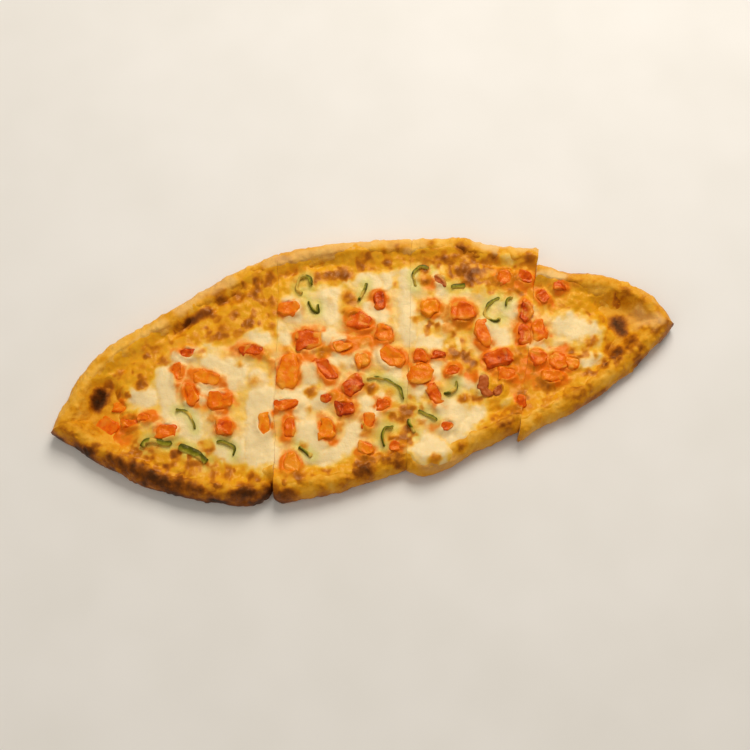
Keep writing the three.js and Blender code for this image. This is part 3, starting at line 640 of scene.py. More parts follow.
def paint(piece, name, values):
    """Store one number for each point, for the material to read."""
    layer = piece.data.attributes.new(name, "FLOAT", "POINT")
    layer.data.foreach_set("value", np.broadcast_to(values, len(piece.data.vertices)).astype("f"))


def smooth_shade(piece, degrees=50):
    """Shade the piece smoothly, but keep edges sharper than this angle."""
    select_only(piece)
    bpy.ops.object.shade_smooth_by_angle(angle=math.radians(degrees))


print("rings merge at", MERGE * 1000, "mm")

# %% [markdown]
# ## The rings of a slice
# A ring goes across the slice on its upper side, from the near edge to the far edge, and back on
# its underside, with as many points below as above. At a cut, more rings shrink the cross-section
# into its own middle line, which fills the cut face. At a pinched tip they shrink into one point
# and also move outwards a little, so that the tip is round. A knife leaves no gap in a soft
# bread, so both slices at a cut end at one shared line, which wavers a little as cheese tears.

# %% Rows and columns
ROW_STEP = 0.75
CAP_RINGS = 5
TIP_ROUND = 0.3
CUT_GAP = 0.08  # what is left open between two slices that were pressed together, in millimetres
CUT_WAVER = [(11, 0.45), (3, 0.18)]
CUT_SHARES = (1.0, 0.7, 0.4, 0.15)  # how much of the move each row takes, from the cut inwards
NARROW_SHARE = 0.45


def rows_of(number, step):
    """Shares along a slice, about `step` millimetres apart."""
    far_edge, near_edge = EDGE_LINES[number]
    length = max(np.abs(np.diff(e, axis=0)).sum() for e in (far_edge, near_edge))
    return np.linspace(0, 1, int(length / step))


def across(number, u, distances, between):
    """Points across a slice for each share u: fine columns at the edges, wide ones between."""
    far_edge, near_edge = edges_at(number, u)
    width = np.hypot(*(far_edge - near_edge).T)[:, None]
    distances = np.asarray(distances, float)
    scale = np.minimum(1, NARROW_SHARE * width / distances[-1]) / width
    lead = distances[None, :] * scale
    inner = lead[:, -1:]
    middle = inner + (1 - 2 * inner) * np.linspace(0, 1, between + 1)[None, 1:-1]
    share = np.concatenate([lead, middle, 1 - lead[:, ::-1]], axis=1)
    flat = near_edge[:, None, :] + (far_edge - near_edge)[:, None, :] * share[:, :, None]
    return flat[..., 0], flat[..., 1]


def cut_line(number):
    """A point on the cut after slice `number`, and the direction across it towards the right."""
    before, after = np.array(STATIONS[number][-1], float), np.array(STATIONS[number + 1][0], float)
    along = before[:2] - before[2:] + after[:2] - after[2:]
    normal = np.array([along[1], -along[0]]) / np.hypot(*along)
    ends = [before[:2], before[2:], after[:2], after[2:]]
    offsets = [end @ normal for end in ends]
    middle = 0.5 * (0.5 * (offsets[0] + offsets[1]) + 0.5 * (offsets[2] + offsets[3]))
    return normal * middle, normal


CUTS = {n: cut_line(n) for n in range(3)}


def cut_gap(number, x, y):
    """Distance past the wavering cut after slice `number`, positive to its right."""
    point, normal = CUTS[number]
    along = y * normal[0] - x * normal[1]
    waver = layered(along, 0, CUT_WAVER, 34)
    return (x - point[0]) * normal[0] + (y - point[1]) * normal[1] - waver


def with_caps(number, top, bottom):
    """Close the skin at both ends: rings that shrink to the middle line of the end face."""
    middle = 0.5 * (top + bottom)
    shares = np.linspace(1, 0, CAP_RINGS)
    top, bottom = top.copy(), bottom.copy()

    def cap(row, inner_row, round_by):
        """Rings that shrink from an end row to its middle line, or at a tip to a point."""
        away = (middle[row] - middle[inner_row]).mean(axis=0) * [1, 1, 0]
        away *= round_by / np.hypot(*away[:2])
        core = middle[row].mean(axis=0) if round_by else middle[row]
        grown = []
        for share in shares:
            out = away * math.sqrt(1 - share**2)
            up = core + (top[row] - core) * share + out
            down = core + (bottom[row] - core) * share + out
            grown.append(np.concatenate([up, down[::-1], up[:1]]))
        return grown

    for end, sign in ((0, 1), (-1, -1)):
        if (number, end) in ((0, 0), (3, -1)):
            continue
        cut = number if end else number - 1
        normal = CUTS[cut][1]
        lack = cut_gap(cut, *top[end][:, :2].T) - sign * CUT_GAP / 2
        for step, part in enumerate(CUT_SHARES):
            row = end + sign * step
            for line in (top, bottom, middle):
                line[row, :, :2] -= part * lack[:, None] * normal
    body = [np.concatenate([t, b[::-1], t[:1]]) for t, b in zip(top, bottom)]
    start = cap(0, 1, TIP_ROUND if number == 0 else 0)[::-1]
    finish = cap(-1, -2, TIP_ROUND if number == 3 else 0)
    return np.array(start[:-1] + body + finish[1:])


print("rows", [len(rows_of(n, ROW_STEP)) for n in range(4)])

# %% [markdown]
# ## Dough
# The rim is rolled in by hand, so it swells and shrinks, and the oven raises bubbles on it. Two
# scales of soft noise give the lumps, cell noise gives the small blisters, and a crease runs where
# the folded edge was pressed down. The points are pushed along their own normals, so the lumps
# also show from the side. The flat underside is left alone.

# %% Model the dough slices
RIM_COLUMNS = np.concatenate([[0, 0.25, 0.6], np.arange(1.1, 22.2, 0.7)])
FLOOR_COLUMNS = 14
LUMPS = [(13, 0.85), (4.5, 0.55)]
BLISTER, BLISTER_SIZE, PORE, PORE_SIZE = 0.5, 4.2, 0.16, 1.7
CREASE, CREASE_IN, CREASE_WIDE = 0.8, 10.5, 1.1
PALE_EDGE = [(5, 2.5)]


def pale_map(x, y, strokes=PALE):
    """Where the crust stayed pale, or with the yellow strokes, hardly browned and partly painted light.
    """
    pale = np.zeros(np.shape(x))
    wx, wy = ragged(x, y, PALE_EDGE, 57)
    for x1, y1, x2, y2, radius, amount in strokes:
        r = stroke_gap(wx, wy, x1, y1, x2, y2) / radius
        pale = np.maximum(pale, amount * smooth((1.7 - r) / 1.4))
    return pale


def rim_relief(number, x, y, z, d):
    """How far the baked rim stands out from its plain profile."""
    lumps = layered(x, y, LUMPS, 41, z)
    gap, chance = cells(x + 0.3 * z, y + 0.5 * z, BLISTER_SIZE, 43)
    blisters = BLISTER * smooth(1 - gap / 0.55) * (chance > 0.45)
    wander = CREASE_IN + 1.4 * noise(x, y, 9, 44)
    crease = CREASE * np.exp(-(((d - wander) / CREASE_WIDE) ** 2))
    crease = crease * (0.6 + 0.4 * noise(x, y, 11, 45))
    crease = crease * smooth((tip_distance(number, x, y) - 14) / 16)
    raised = spot_map(x, y)[1]
    return lumps + blisters - crease + 0.8 * raised + PORE * noise(x, y, PORE_SIZE, 46, z)


def beside_cut(number, p, reach):
    """For each cut of a slice, its normal and 1 for the points within `reach` of the cut."""
    for cut in (number - 1, number):
        if cut in CUTS:
            gap = np.abs(cut_gap(cut, p[:, 0], p[:, 1]))
            yield np.append(CUTS[cut][1], 0), smooth(1.5 - gap / reach)


def model_dough(number):
    """One slice of dough as a closed skin, with its relief pushed out along the normals."""
    u = rows_of(number, ROW_STEP)
    x, y = across(number, u, RIM_COLUMNS, FLOOR_COLUMNS)
    d = edge_distance(number, x, y)
    top = np.stack([x, y, dough_height(number, x, y, d)], axis=-1)
    under = EDGE * (1 - np.sqrt(np.clip(1 - (1 - np.clip(d / UNDERCUT, 0, 1)) ** 2, 0, 1)))
    bottom = np.stack([x, y, under], axis=-1)
    piece = closed_skin(f"baked_dough_{number + 1}", with_caps(number, top, bottom))
    p, n = points_of(piece), normals_of(piece)
    d = edge_distance(number, p[:, 0], p[:, 1])
    free = smooth(p[:, 2] / 2.5) * smooth((20 - d) / 4)
    free = free * smooth((tip_distance(number, p[:, 0], p[:, 1]) - 3) / 14)
    push = n * (rim_relief(number, *p.T, d) * free)[:, None]
    for normal, near_cut in beside_cut(number, p, 1.0):
        push -= (near_cut * (push @ normal))[:, None] * normal
    moved = p + push
    moved[:, 2] = np.maximum(moved[:, 2], 0)
    write_points(piece, moved)
    return piece


DOUGH = [model_dough(n) for n in range(4)]
print("dough points", [len(piece.data.vertices) for piece in DOUGH],
      "open edges", [open_edges(piece) for piece in DOUGH])

# %% [markdown]
# How brown the crust is depends on where the heat reached it: the low outer side and the underside
# lay near the stone, bubbles stand up into the heat, and a few places burned. The outer side that
# faces the viewer, most of all on the left, is made darker as painted shade. We add these up to one
# number for each point, and the material turns the number into colour. The noise also runs
# through the depth, because flat noise would draw vertical streaks on the side of the rim.

# %% Paint the heat and the painted shade onto the dough
BLOTCH_EDGE = [(4.5, 2.2)]
BLOTCH_CLOUD = [(5.5, 0.65), (2.4, 0.35)]
BASE_HEAT, HEAT_NOISE = 0.19, [(15, 0.14), (5, 0.10), (2, 0.05)]
PATCH_HEAT, BLOTCH_HEAT, GOLDEN_HEAT, THIN_EDGE_HEAT = 0.16, 0.5, 0.45, 0.3
# The second and third amounts on the next line are painted shade on the near side, not heat.
LOW_HEAT, NEAR_SIDE_SHADE, NEAR_LEFT_SHADE, UNDERSIDE_HEAT = 0.26, 0.14, 0.5, 0.45
NOISE_LEVEL = 12  # the height at which the noise is the same as in the flat maps, in millimetres


def blotches(x, y):
    """Soft patches that browned a little more, as a golden crust of cheese has them."""
    gap, chance = cells(*ragged(x, y, BLOTCH_EDGE, 75), 6.5, 71)
    bubbles = 0.3 * smooth(1.2 - gap / 0.4) * smooth((chance - 0.3) / 0.6)
    cloud = 0.24 * smooth((layered(x, y, BLOTCH_CLOUD, 80) + 0.02) / 0.45)
    return 1 - (1 - bubbles) * (1 - cloud)


def paint_dough(piece, number):
    """Paint how baked each point of a slice is with painted shade, how pale, and how much it is crumb.
    """
    p, n = points_of(piece), normals_of(piece)
    x, y, z = p.T
    d = edge_distance(number, x, y)
    brown = spot_map(x, y)[0]
    low = smooth((5.5 - z) / 4) * smooth((6 - d) / 4)
    # Painted shade: the outer side that faces the viewer, away from the lamp behind, is made browner.
    near_side_shade = smooth((0.1 - n[:, 1]) / 0.6) * smooth((8 - d) / 4)
    # Painted shade: darker still on the left part of that near side.
    near_left_shade = near_side_shade * smooth((-40 - x) / 30) * smooth((13 - z) / 6)
    deep = z - NOISE_LEVEL
    near_left_shade = near_left_shade * (0.8 + 0.5 * noise(x, y, 7, 59, 1.5 * deep))
    thin_edge = smooth((2.6 - d) / 2) * smooth((x - 100) / 40)
    thin_edge = thin_edge * (0.8 + 0.6 * noise(x, y, 6, 60, deep))
    patches = smooth(0.1 + 1.4 * noise(x, y, 8, 56)) * smooth((d - 1) / 4)
    bake = BASE_HEAT + layered(x, y, HEAT_NOISE, 51, deep) + PATCH_HEAT * patches
    bake = bake + BLOTCH_HEAT * blotches(x, y) * smooth((d - 3) / 5)
    bake = bake + GOLDEN_HEAT * golden_map(x, y) + THIN_EDGE_HEAT * thin_edge
    bake = bake + LOW_HEAT * low + NEAR_SIDE_SHADE * near_side_shade + NEAR_LEFT_SHADE * near_left_shade
    # The yellow strokes take browning away: less browned crust, and also painted light on a shaded
    # slope.
    bake = (1 - (1 - bake) * (1 - brown)) * (1 - 0.8 * pale_map(x, y, YELLOW_AND_PAINTED_LIGHT))
    bake = np.where(n[:, 2] < -0.7, UNDERSIDE_HEAT + 0.2 * noise(x, y, 9, 55), bake)
    crumb = np.zeros(len(x))
    for normal, near_cut in beside_cut(number, p, 0.3):
        crumb = np.maximum(crumb, near_cut * smooth((np.abs(n @ normal) - 0.8) / 0.15))
    paint(piece, "bake", np.clip(bake, 0, 1))
    paint(piece, "crumb", crumb * smooth((d - 1.5) / 2))
    paint(piece, "pale", pale_map(x, y) * smooth((z - 3) / 6))
    smooth_shade(piece)


for number, piece in enumerate(DOUGH):
    paint_dough(piece, number)
print("bake and crumb painted on", len(DOUGH), "slices")

# %% [markdown]
# ## Cheese
# Melted cheese is a thick liquid that has set: smooth in the white pools, full of small dimples
# where it has browned, and drawn up a little round everything that stands in it. It is one skin
# for each slice, which dives into the dough outside its border, so no seam shows there.

# %% Model the cheese slices
CHEESE_STEP = 0.8
SHEET_IN = 2.5
SHEET_BASE = 3.2
SWELLS = [(8, 0.45), (3.4, 0.2)]
DIMPLE, DIMPLE_SIZE, GRAIN, GRAIN_SIZE = 0.55, 5.0, 0.2, 2.4
POOL_RISE, CLIMB, CLIMB_REACH, HIDDEN_RISE = 0.3, 1.7, 2.2, 1.2
HIDDEN_EDGE = [(3.5, 1.6)]


def cheese_relief(number, x, y):
    """How far the melted cheese stands off its plain sheet."""
    pool = pool_map(x, y)
    gap, chance = cells(x, y, DIMPLE_SIZE, 63)
    bubbles = DIMPLE * (smooth(1 - gap / 0.6) - 0.4) * (0.2 + chance)
    bubbles = bubbles * (1 - 0.5 * white_map(x, y)) + GRAIN * noise(x, y, GRAIN_SIZE, 64)
    e = chunk_gap(TOMATOES + SAUSAGE + SCRAPS, x, y, number)
    climb = CLIMB * np.exp(-((np.maximum(e, 0) / CLIMB_REACH) ** 2))
    climb = climb * (1 + 0.6 * noise(x, y, 3.4, 67))
    climb = climb * smooth(1 + e / 1.8) - 0.5 * smooth(-e / 2.5)
    gap = chunk_gap(COVERED, *ragged(x, y, HIDDEN_EDGE, 65), number)
    hidden = HIDDEN_RISE * smooth(0.5 - 0.3 * gap)
    raised = spot_map(x, y)[1]
    relief = layered(x, y, SWELLS, 61) + (1 - pool) * (bubbles - 0.35) + POOL_RISE * pool
    return relief + climb + 0.5 * raised + hidden


def model_cheese(number):
    """One slice's sheet of cheese as a closed skin that starts where the slice is wide enough."""
    u = rows_of(number, CHEESE_STEP)
    far_edge, near_edge = edges_at(number, u)
    width = np.hypot(*(far_edge - near_edge).T)
    u = u[width > 2 * FLOOR_IN]
    across_count = int(width.max() / CHEESE_STEP)
    x, y = across(number, u, [SHEET_IN, SHEET_IN + CHEESE_STEP], across_count)
    d = edge_distance(number, x, y)
    z, inside = cheese_height(number, x, y, d)
    z = z + cheese_relief(number, x, y) * smooth((inside + 0.5) / 3)
    top = np.stack([x, y, np.maximum(z, SHEET_BASE + 0.3)], axis=-1)
    bottom = np.stack([x, y, np.full_like(z, SHEET_BASE)], axis=-1)
    return closed_skin(f"melted_cheese_{number + 1}", with_caps(number, top, bottom))


CHEESE_PIECES = [model_cheese(n) for n in range(4)]
print("cheese points", [len(piece.data.vertices) for piece in CHEESE_PIECES],
      "open edges", [open_edges(piece) for piece in CHEESE_PIECES])

# %% [markdown]
# Four numbers are painted on the cheese. Milk says how white it stayed, brown how far it cooked,
# juice how much of the tomato soaked in, and leaf how near a strip of pepper lies. Juice fades
# away from each die over a few millimetres, and where many dice lie together it fills the whole
# zone between them. A zone is a place and a radius.

# %% Paint the pools, the browning and the tomato juice onto the cheese
JUICE_REACH, JUICE_EDGE_SEEDS, JUICE_EDGE = 3.8, (72, 82), ((4, 1.6), (9, 1.4))
ZONE_JUICE, HIDDEN_JUICE, HIDDEN_BROWN = 0.85, 0.6, 0.2
WHITE_MILK, POOL_MILK, BAND_MILK = 0.72, 0.42, 0.1
LEAF_REACH, LEAF_STRENGTH = 2.8, 0.6
ORANGE_ZONES = [
    (89, -13, 12), (104, -14, 16), (98, 14, 9), (96, 40, 11), (63, 27, 11), (-140, -6, 12),
    (-28, 14, 16), (-5, 22, 9), (77, 8, 5), (24, 6, 11), (-5, -48, 9), (-12, -10, 10), (-42, -14, 6),
    (-90, 4, 10), (10, 18, 10), (36, 2, 6), (50, 48, 7), (-20, 24, 10), (60, -12, 7),
    (2, 22, 7), (115, -5, 6),
]


def paint_cheese(piece, number):
    """Paint milk, brown, juice and leaf onto one sheet of cheese."""
    x, y = points_of(piece).T[:2]
    pool, white = pool_map(x, y), white_map(x, y)
    spots = spot_map(x, y)[0]
    brown = (0.8 + 0.3 * white) * spots
    golden = (1 - pool) * (1 - 0.92 * white)
    brown = 1 - (1 - brown) * (1 - blotches(x, y) * golden)
    brown = 1 - (1 - brown) * (1 - 0.14 * golden * smooth(0.3 + noise(x, y, 9, 77)))
    e = np.maximum(chunk_gap(TOMATOES + SCRAPS, x, y, number), 0)
    for seed, (size, height) in zip(JUICE_EDGE_SEEDS, JUICE_EDGE):
        e = e + height * noise(x, y, size, seed)
    juice = np.exp(-np.maximum(e, 0) / JUICE_REACH) * (0.92 + 0.35 * noise(x, y, 7, 83))
    for zx, zy, radius in ORANGE_ZONES:
        r = np.hypot(x - zx, y - zy) / radius + 0.35 * noise(x, y, 6, 78)
        juice = np.maximum(juice, ZONE_JUICE * smooth(1.3 - r))
    gap = chunk_gap(COVERED, *ragged(x, y, HIDDEN_EDGE, 65), number)
    hidden = smooth(0.7 - 0.25 * gap)
    juice = np.maximum(juice, HIDDEN_JUICE * hidden) * (1 - 0.6 * pool)
    patch = 0.22 * smooth(0.2 + 1.3 * noise(x, y, 9, 79)) * (1 - pool)
    toasted = golden_map(x, y)
    brown = 1 - (1 - brown) * (1 - 0.5 * toasted * (0.8 + 0.7 * noise(x, y, 4, 106)))
    # The yellow strokes also take browning off the cheese there, partly as painted light.
    brown = brown * (1 - pale_map(x, y)) * (1 - 0.8 * pale_map(x, y, YELLOW_AND_PAINTED_LIGHT))
    milk = WHITE_MILK * white + BAND_MILK * (1 - white) + POOL_MILK * pool - patch
    milk = np.clip(milk, 0, 1)
    paint(piece, "milk", milk * (1 - 0.8 * smooth(2.6 * spots)) * (1 - 0.9 * toasted))
    paint(piece, "brown", np.clip(np.maximum(brown, HIDDEN_BROWN * hidden), 0, 1))
    paint(piece, "juice", np.clip(juice, 0, 1))
    gap = np.maximum(strip_gap(PEPPERS + PEPPER_SCRAPS, x, y), 0)
    paint(piece, "leaf", LEAF_STRENGTH * np.exp(-((gap / LEAF_REACH) ** 2)))
    smooth_shade(piece)


for number, piece in enumerate(CHEESE_PIECES):
    paint_cheese(piece, number)
print("milk, brown, juice and leaf painted on", len(CHEESE_PIECES), "slices")

# %% [markdown]
# ## Diced tomato and sausage
# A die is cut with flat sides, then softens in the oven: its corners round off, its top sinks
# between wrinkled edges and its sides lean. We model one block with rounded corners, and each die
# is a copy with a mesh of its own, stretched to its size, tapered, wrinkled and set into the
# cheese. It sits where its solid sits, and replaces it.

# %% One rounded block
BLOCK_CUTS = 11
BLOCK_POWER = 3.4  # 2 gives a ball and a very high power gives a sharp cube


def model_block():
    """A cube whose faces are finely divided and pulled to a rounded box."""
    bpy.ops.object.select_all(action="DESELECT")
    bpy.ops.mesh.primitive_cube_add(size=2)
    block = bpy.context.object
    bpy.ops.object.mode_set(mode="EDIT")
    bpy.ops.mesh.select_all(action="SELECT")
    bpy.ops.mesh.subdivide(number_cuts=BLOCK_CUTS)
    bpy.ops.object.mode_set(mode="OBJECT")
    flat = np.zeros(len(block.data.vertices) * 3)
    block.data.vertices.foreach_get("co", flat)
    corner = flat.reshape(-1, 3)
    spread = (np.abs(corner) ** BLOCK_POWER).sum(axis=1) ** (1 / BLOCK_POWER)
    return block, corner / spread[:, None]


BLOCK, BLOCK_POINTS = model_block()
print("the block has", len(BLOCK_POINTS), "points")

# %% [markdown]
# A scale alone would give forty alike dice. So every die gets a taper and a tilt of its own, noise
# moves its points inwards and outwards, and the middle of its top sinks. The random numbers come
# from a seed that each die has for itself, so every run gives the same dice. Two numbers are
# painted on it: wear, which makes one side redder, and film, the cheese over its lower part.

# %% Copy, stretch and wrinkle the block
CHUNK_PROUD = 0.02  # how far a die's middle lies above the cheese, as a share of its height
CHUNK_SWELL = 1.06
CHUNK_LEAST, CHUNK_MOST, CHUNK_SHARE = 2.6, 7, 0.42  # its height, from its width
TAPER_MOST, TILT_MOST, TOP_SINK, SQUASHED = 0.35, 0.12, 0.16, 0.9
WRINKLES_FLAT = [(4.5, 1.5), (2.0, 0.55)]
WRINKLES_UP = [(4.0, 0.6), (1.8, 0.25)]


def chunk_points(spec, seed):
    """Points of one die in bench millimetres, and its wear and its film of cheese from 0 to 1."""
    slice_number, cx, cy, length, width, turn = spec
    rng = np.random.default_rng(seed)
    height = min(CHUNK_MOST, CHUNK_LEAST + CHUNK_SHARE * width)
    taper, tilt = rng.uniform(0, TAPER_MOST), rng.uniform(-TILT_MOST, TILT_MOST)
    p = BLOCK_POINTS.copy()
    shift = rng.uniform(0, 100, 3)
    p[:, 1] *= 1 - taper * (0.5 + 0.5 * p[:, 0])
    p[:, 2] += tilt * p[:, 0]
    q = p * [length / 2 * CHUNK_SWELL, width / 2 * CHUNK_SWELL, height / 2]
    sx, sy, sz = (q + shift).T
    for axis, layers in enumerate((WRINKLES_FLAT, WRINKLES_FLAT, WRINKLES_UP)):
        q[:, axis] += layered(sx, sy, layers, 81 + 2 * axis, sz)
    middle = smooth(1.1 - np.hypot(p[:, 0], p[:, 1])) * (p[:, 2] > 0)
    q[:, 2] -= TOP_SINK * height * middle
    q[:, 2] *= SQUASHED
    a = math.radians(turn)
    x = q[:, 0] * math.cos(a) - q[:, 1] * math.sin(a) + cx
    y = q[:, 0] * math.sin(a) + q[:, 1] * math.cos(a) + cy
    number = slice_number - 1
    place = np.array([[cx]]), np.array([[cy]])
    seat = cheese_height(number, *place, edge_distance(number, *place))[0][0, 0]
    wear = 0.5 + 0.5 * noise(sx, sy, 3.0, 87, sz)
    wear = wear + rng.uniform(0, 1.2) * smooth((rng.choice([-1, 1]) * p[:, 1] - 0.6) / 0.25)
    film = smooth((1.2 - p[:, 2] + 0.9 * noise(sx, sy, 3.6, 88, sz)) / 1.1) * rng.uniform(0.6, 1)
    return np.stack([x, y, q[:, 2] + seat + CHUNK_PROUD * height], axis=-1), wear, film


def make_chunk(name, spec, seed, ripe):
    """A die with its own mesh, painted with its wear, its film and its ripeness."""
    select_only(BLOCK)
    bpy.ops.object.duplicate()
    piece = bpy.context.object
    piece.name = name
    piece.data.name = name
    points, wear, film = chunk_points(spec, seed)
    write_points(piece, points)
    paint(piece, "film", film)
    paint(piece, "wear", wear)
    paint(piece, "ripe", ripe)
    smooth_shade(piece, 80)
    return piece


TOMATO_PIECES = [make_chunk(f"tomato_die_{i:02d}", s, i, r)
                 for i, (s, r) in enumerate(zip(TOMATOES, RIPENESS), 1)]
SAUSAGE_PIECES = [make_chunk(f"sausage_bit_{i}", s, 90 + i, 0.5) for i, s in enumerate(SAUSAGE, 1)]
print(len(TOMATO_PIECES), "dice and", len(SAUSAGE_PIECES), "bits of sausage")

# %% [markdown]
# The scraps of tomato are made in the same way, only smaller. They have no solid of their own and
# belong to the cheese, so we join them into one piece with one finish. The block itself was only
# a model for the copies, and is removed.

# %% Join the smaller bits that are baked into the cheese
def join(name, pieces):
    """Join some pieces into one."""
    select_only(pieces[0])
    for piece in pieces[1:]:
        piece.select_set(True)
    bpy.ops.object.join()
    pieces[0].name = name
    pieces[0].data.name = name
    return pieces[0]


SCRAP_RIPENESS = [0.1 + 0.7 * lattice(i, 0, 0, 6) for i in range(len(SCRAPS))]
SMALL_BITS = join("small_tomato_bits",
                  [make_chunk(f"bit_{i}", s, 200 + i, r)
                   for i, (s, r) in enumerate(zip(SCRAPS, SCRAP_RIPENESS))])
bpy.data.objects.remove(BLOCK)
print("small bits", len(SMALL_BITS.data.vertices), "points")

# %% [markdown]
# ## Pepper strips
# A thin slice of green pepper is a ring or an arc: a dark glossy skin outside and pale flesh
# inside. Each strip is a closed skin round a curve. Its cross-section is a flat oval on edge, and
# its two ends shrink to a point.

# %% Model the pepper strips
PEPPER_TALL = 3.4
PEPPER_PROUD = 0.3
PEPPER_ROUND = 14
PEPPER_STEP = 0.6
PEPPER_CORNER = 0.65  # 1 gives an oval cross-section and less gives one with fuller corners
PEPPER_SINK = [(6, 0.9), (2, 0.25)]
PEPPER_BEND = 0.5


def strip_rings(spec, seed):
    """Rings of points along a strip of pepper, in bench millimetres."""
    slice_number, wide, path = spec
    number = slice_number - 1
    length = np.hypot(*np.diff(np.array(path, float), axis=0).T).sum()
    steps = max(12, int(length / PEPPER_STEP))
    u = np.linspace(0, 1, steps)
    line = curve_through(path, u)
    for axis in (0, 1):
        line[:, axis] += PEPPER_BEND * noise(line[:, 0], line[:, 1], 3.5, 95 + axis)
    ahead = np.gradient(line, axis=0)
    ahead /= np.hypot(*ahead.T)[:, None]
    side = np.stack([-ahead[:, 1], ahead[:, 0]], axis=1)
    x, y = line.T
    seat, _ = cheese_height(number, x, y, edge_distance(number, x, y))
    seat = np.convolve(np.pad(seat, 2, mode="edge"), np.ones(5) / 5, mode="valid")
    angle = np.linspace(0, 2 * np.pi, PEPPER_ROUND + 1)
    body = np.sqrt(np.clip(1 - (2 * u - 1) ** 24, 0, 1))
    half = 0.5 * wide * body * (0.82 + 0.3 * noise(x, y, 4, 91 + seed))
    tall = 0.5 * PEPPER_TALL * body * (1 + 0.2 * noise(x, y, 4, 92 + seed))
    sink = layered(x, y, PEPPER_SINK, 98)
    out, up = (np.sign(v) * np.abs(v) ** PEPPER_CORNER for v in (np.cos(angle), np.sin(angle)))
    out = half[:, None] * out
    rings = np.zeros((steps, PEPPER_ROUND + 1, 3))
    rings[..., 0] = x[:, None] + side[:, :1] * out
    rings[..., 1] = y[:, None] + side[:, 1:] * out
    rings[..., 2] = (seat + PEPPER_PROUD + sink)[:, None] + tall[:, None] * up
    rings[:, -1] = rings[:, 0]
    rings[0] = rings[0].mean(axis=0)
    rings[-1] = rings[-1].mean(axis=0)
    turn = ahead[:-1, 0] * ahead[1:, 1] - ahead[:-1, 1] * ahead[1:, 0]
    return rings, line, side * (-1 if turn.sum() > 0 else 1)


def make_strip(name, spec, seed):
    """A pepper strip, painted from the flesh on its inner side to the skin on its outer side."""
    rings, line, outward = strip_rings(spec, seed)
    piece = closed_skin(name, rings)
    p = points_of(piece)[:, :2]
    closest = np.hypot(*(p[:, None, :] - line[None]).transpose(2, 0, 1)).argmin(axis=1)
    lean = ((p - line[closest]) * outward[closest]).sum(axis=1) / (0.5 * spec[1])
    paint(piece, "skin", smooth(0.62 + 0.6 * lean))
    paint(piece, "wear", 0.5 + 0.5 * noise(p[:, 0], p[:, 1], 3.5, 93))
    paint(piece, "film", smooth(1.3 * noise(p[:, 0], p[:, 1], 4.5, 94)))
    smooth_shade(piece, 80)
    return piece


PEPPER_PIECES = [make_strip(f"pepper_strip_{i:02d}", s, i) for i, s in enumerate(PEPPERS, 1)]
SMALL_PEPPER = join("small_pepper_bits",
                    [make_strip(f"green_{i}", s, 50 + i) for i, s in enumerate(PEPPER_SCRAPS)])
print(len(PEPPER_PIECES), "pepper strips")

# %% [markdown]
# ## Materials
# Every finish below starts from what the food is. One function adds a node with its settings and
# links, and one turns an sRGB hex colour into the linear numbers that the shader needs. The
# numbers painted on the points steer the colours, and noise at the size of the real grain breaks
# them up.

# %% Helpers for materials
def colour(hex_code):
    """A linear RGBA colour from an sRGB hex code such as "E0A030"."""
    parts = [int(hex_code[i:i + 2], 16) / 255 for i in (0, 2, 4)]
    return tuple(c / 12.92 if c <= 0.04045 else ((c + 0.055) / 1.055) ** 2.4 for c in parts) + (1,)


def add_node(tree, kind, inputs=None, ramp=None, out=0, **settings):
    """Add a node, set it up, set or link its sockets, and give back one of its outputs."""
    made = tree.nodes.new("ShaderNode" + kind)
    for name, value in settings.items():
        setattr(made, name, value)
    for socket, value in (inputs or {}).items():
        if isinstance(value, bpy.types.NodeSocket):
            tree.links.new(value, made.inputs[socket])
        else:
            made.inputs[socket].default_value = value
    if ramp:
        stops = made.color_ramp.elements
        while len(stops) < len(ramp):
            stops.new(0.5)
        for stop, (place, hex_code) in zip(stops, ramp):
            stop.position = place
            stop.color = colour(hex_code)
    return made.outputs[out]


def new_material(name, **settings):
    """An empty material, its shader with these settings, and the shaded point in metres."""
    made = bpy.data.materials.new(name)
    made.use_nodes = True
    tree = made.node_tree
    shader = tree.nodes["Principled BSDF"]
    for socket, value in settings.items():
        shader.inputs[socket.replace("_", " ")].default_value = value
    return made, tree, shader, add_node(tree, "TexCoord", out="Object")


def cover(pieces, made):
    """Give each piece this one material."""
    for piece in pieces:
        piece.data.materials.clear()
        piece.data.materials.append(made)


print("gold is", [round(c, 3) for c in colour("E0A030")])
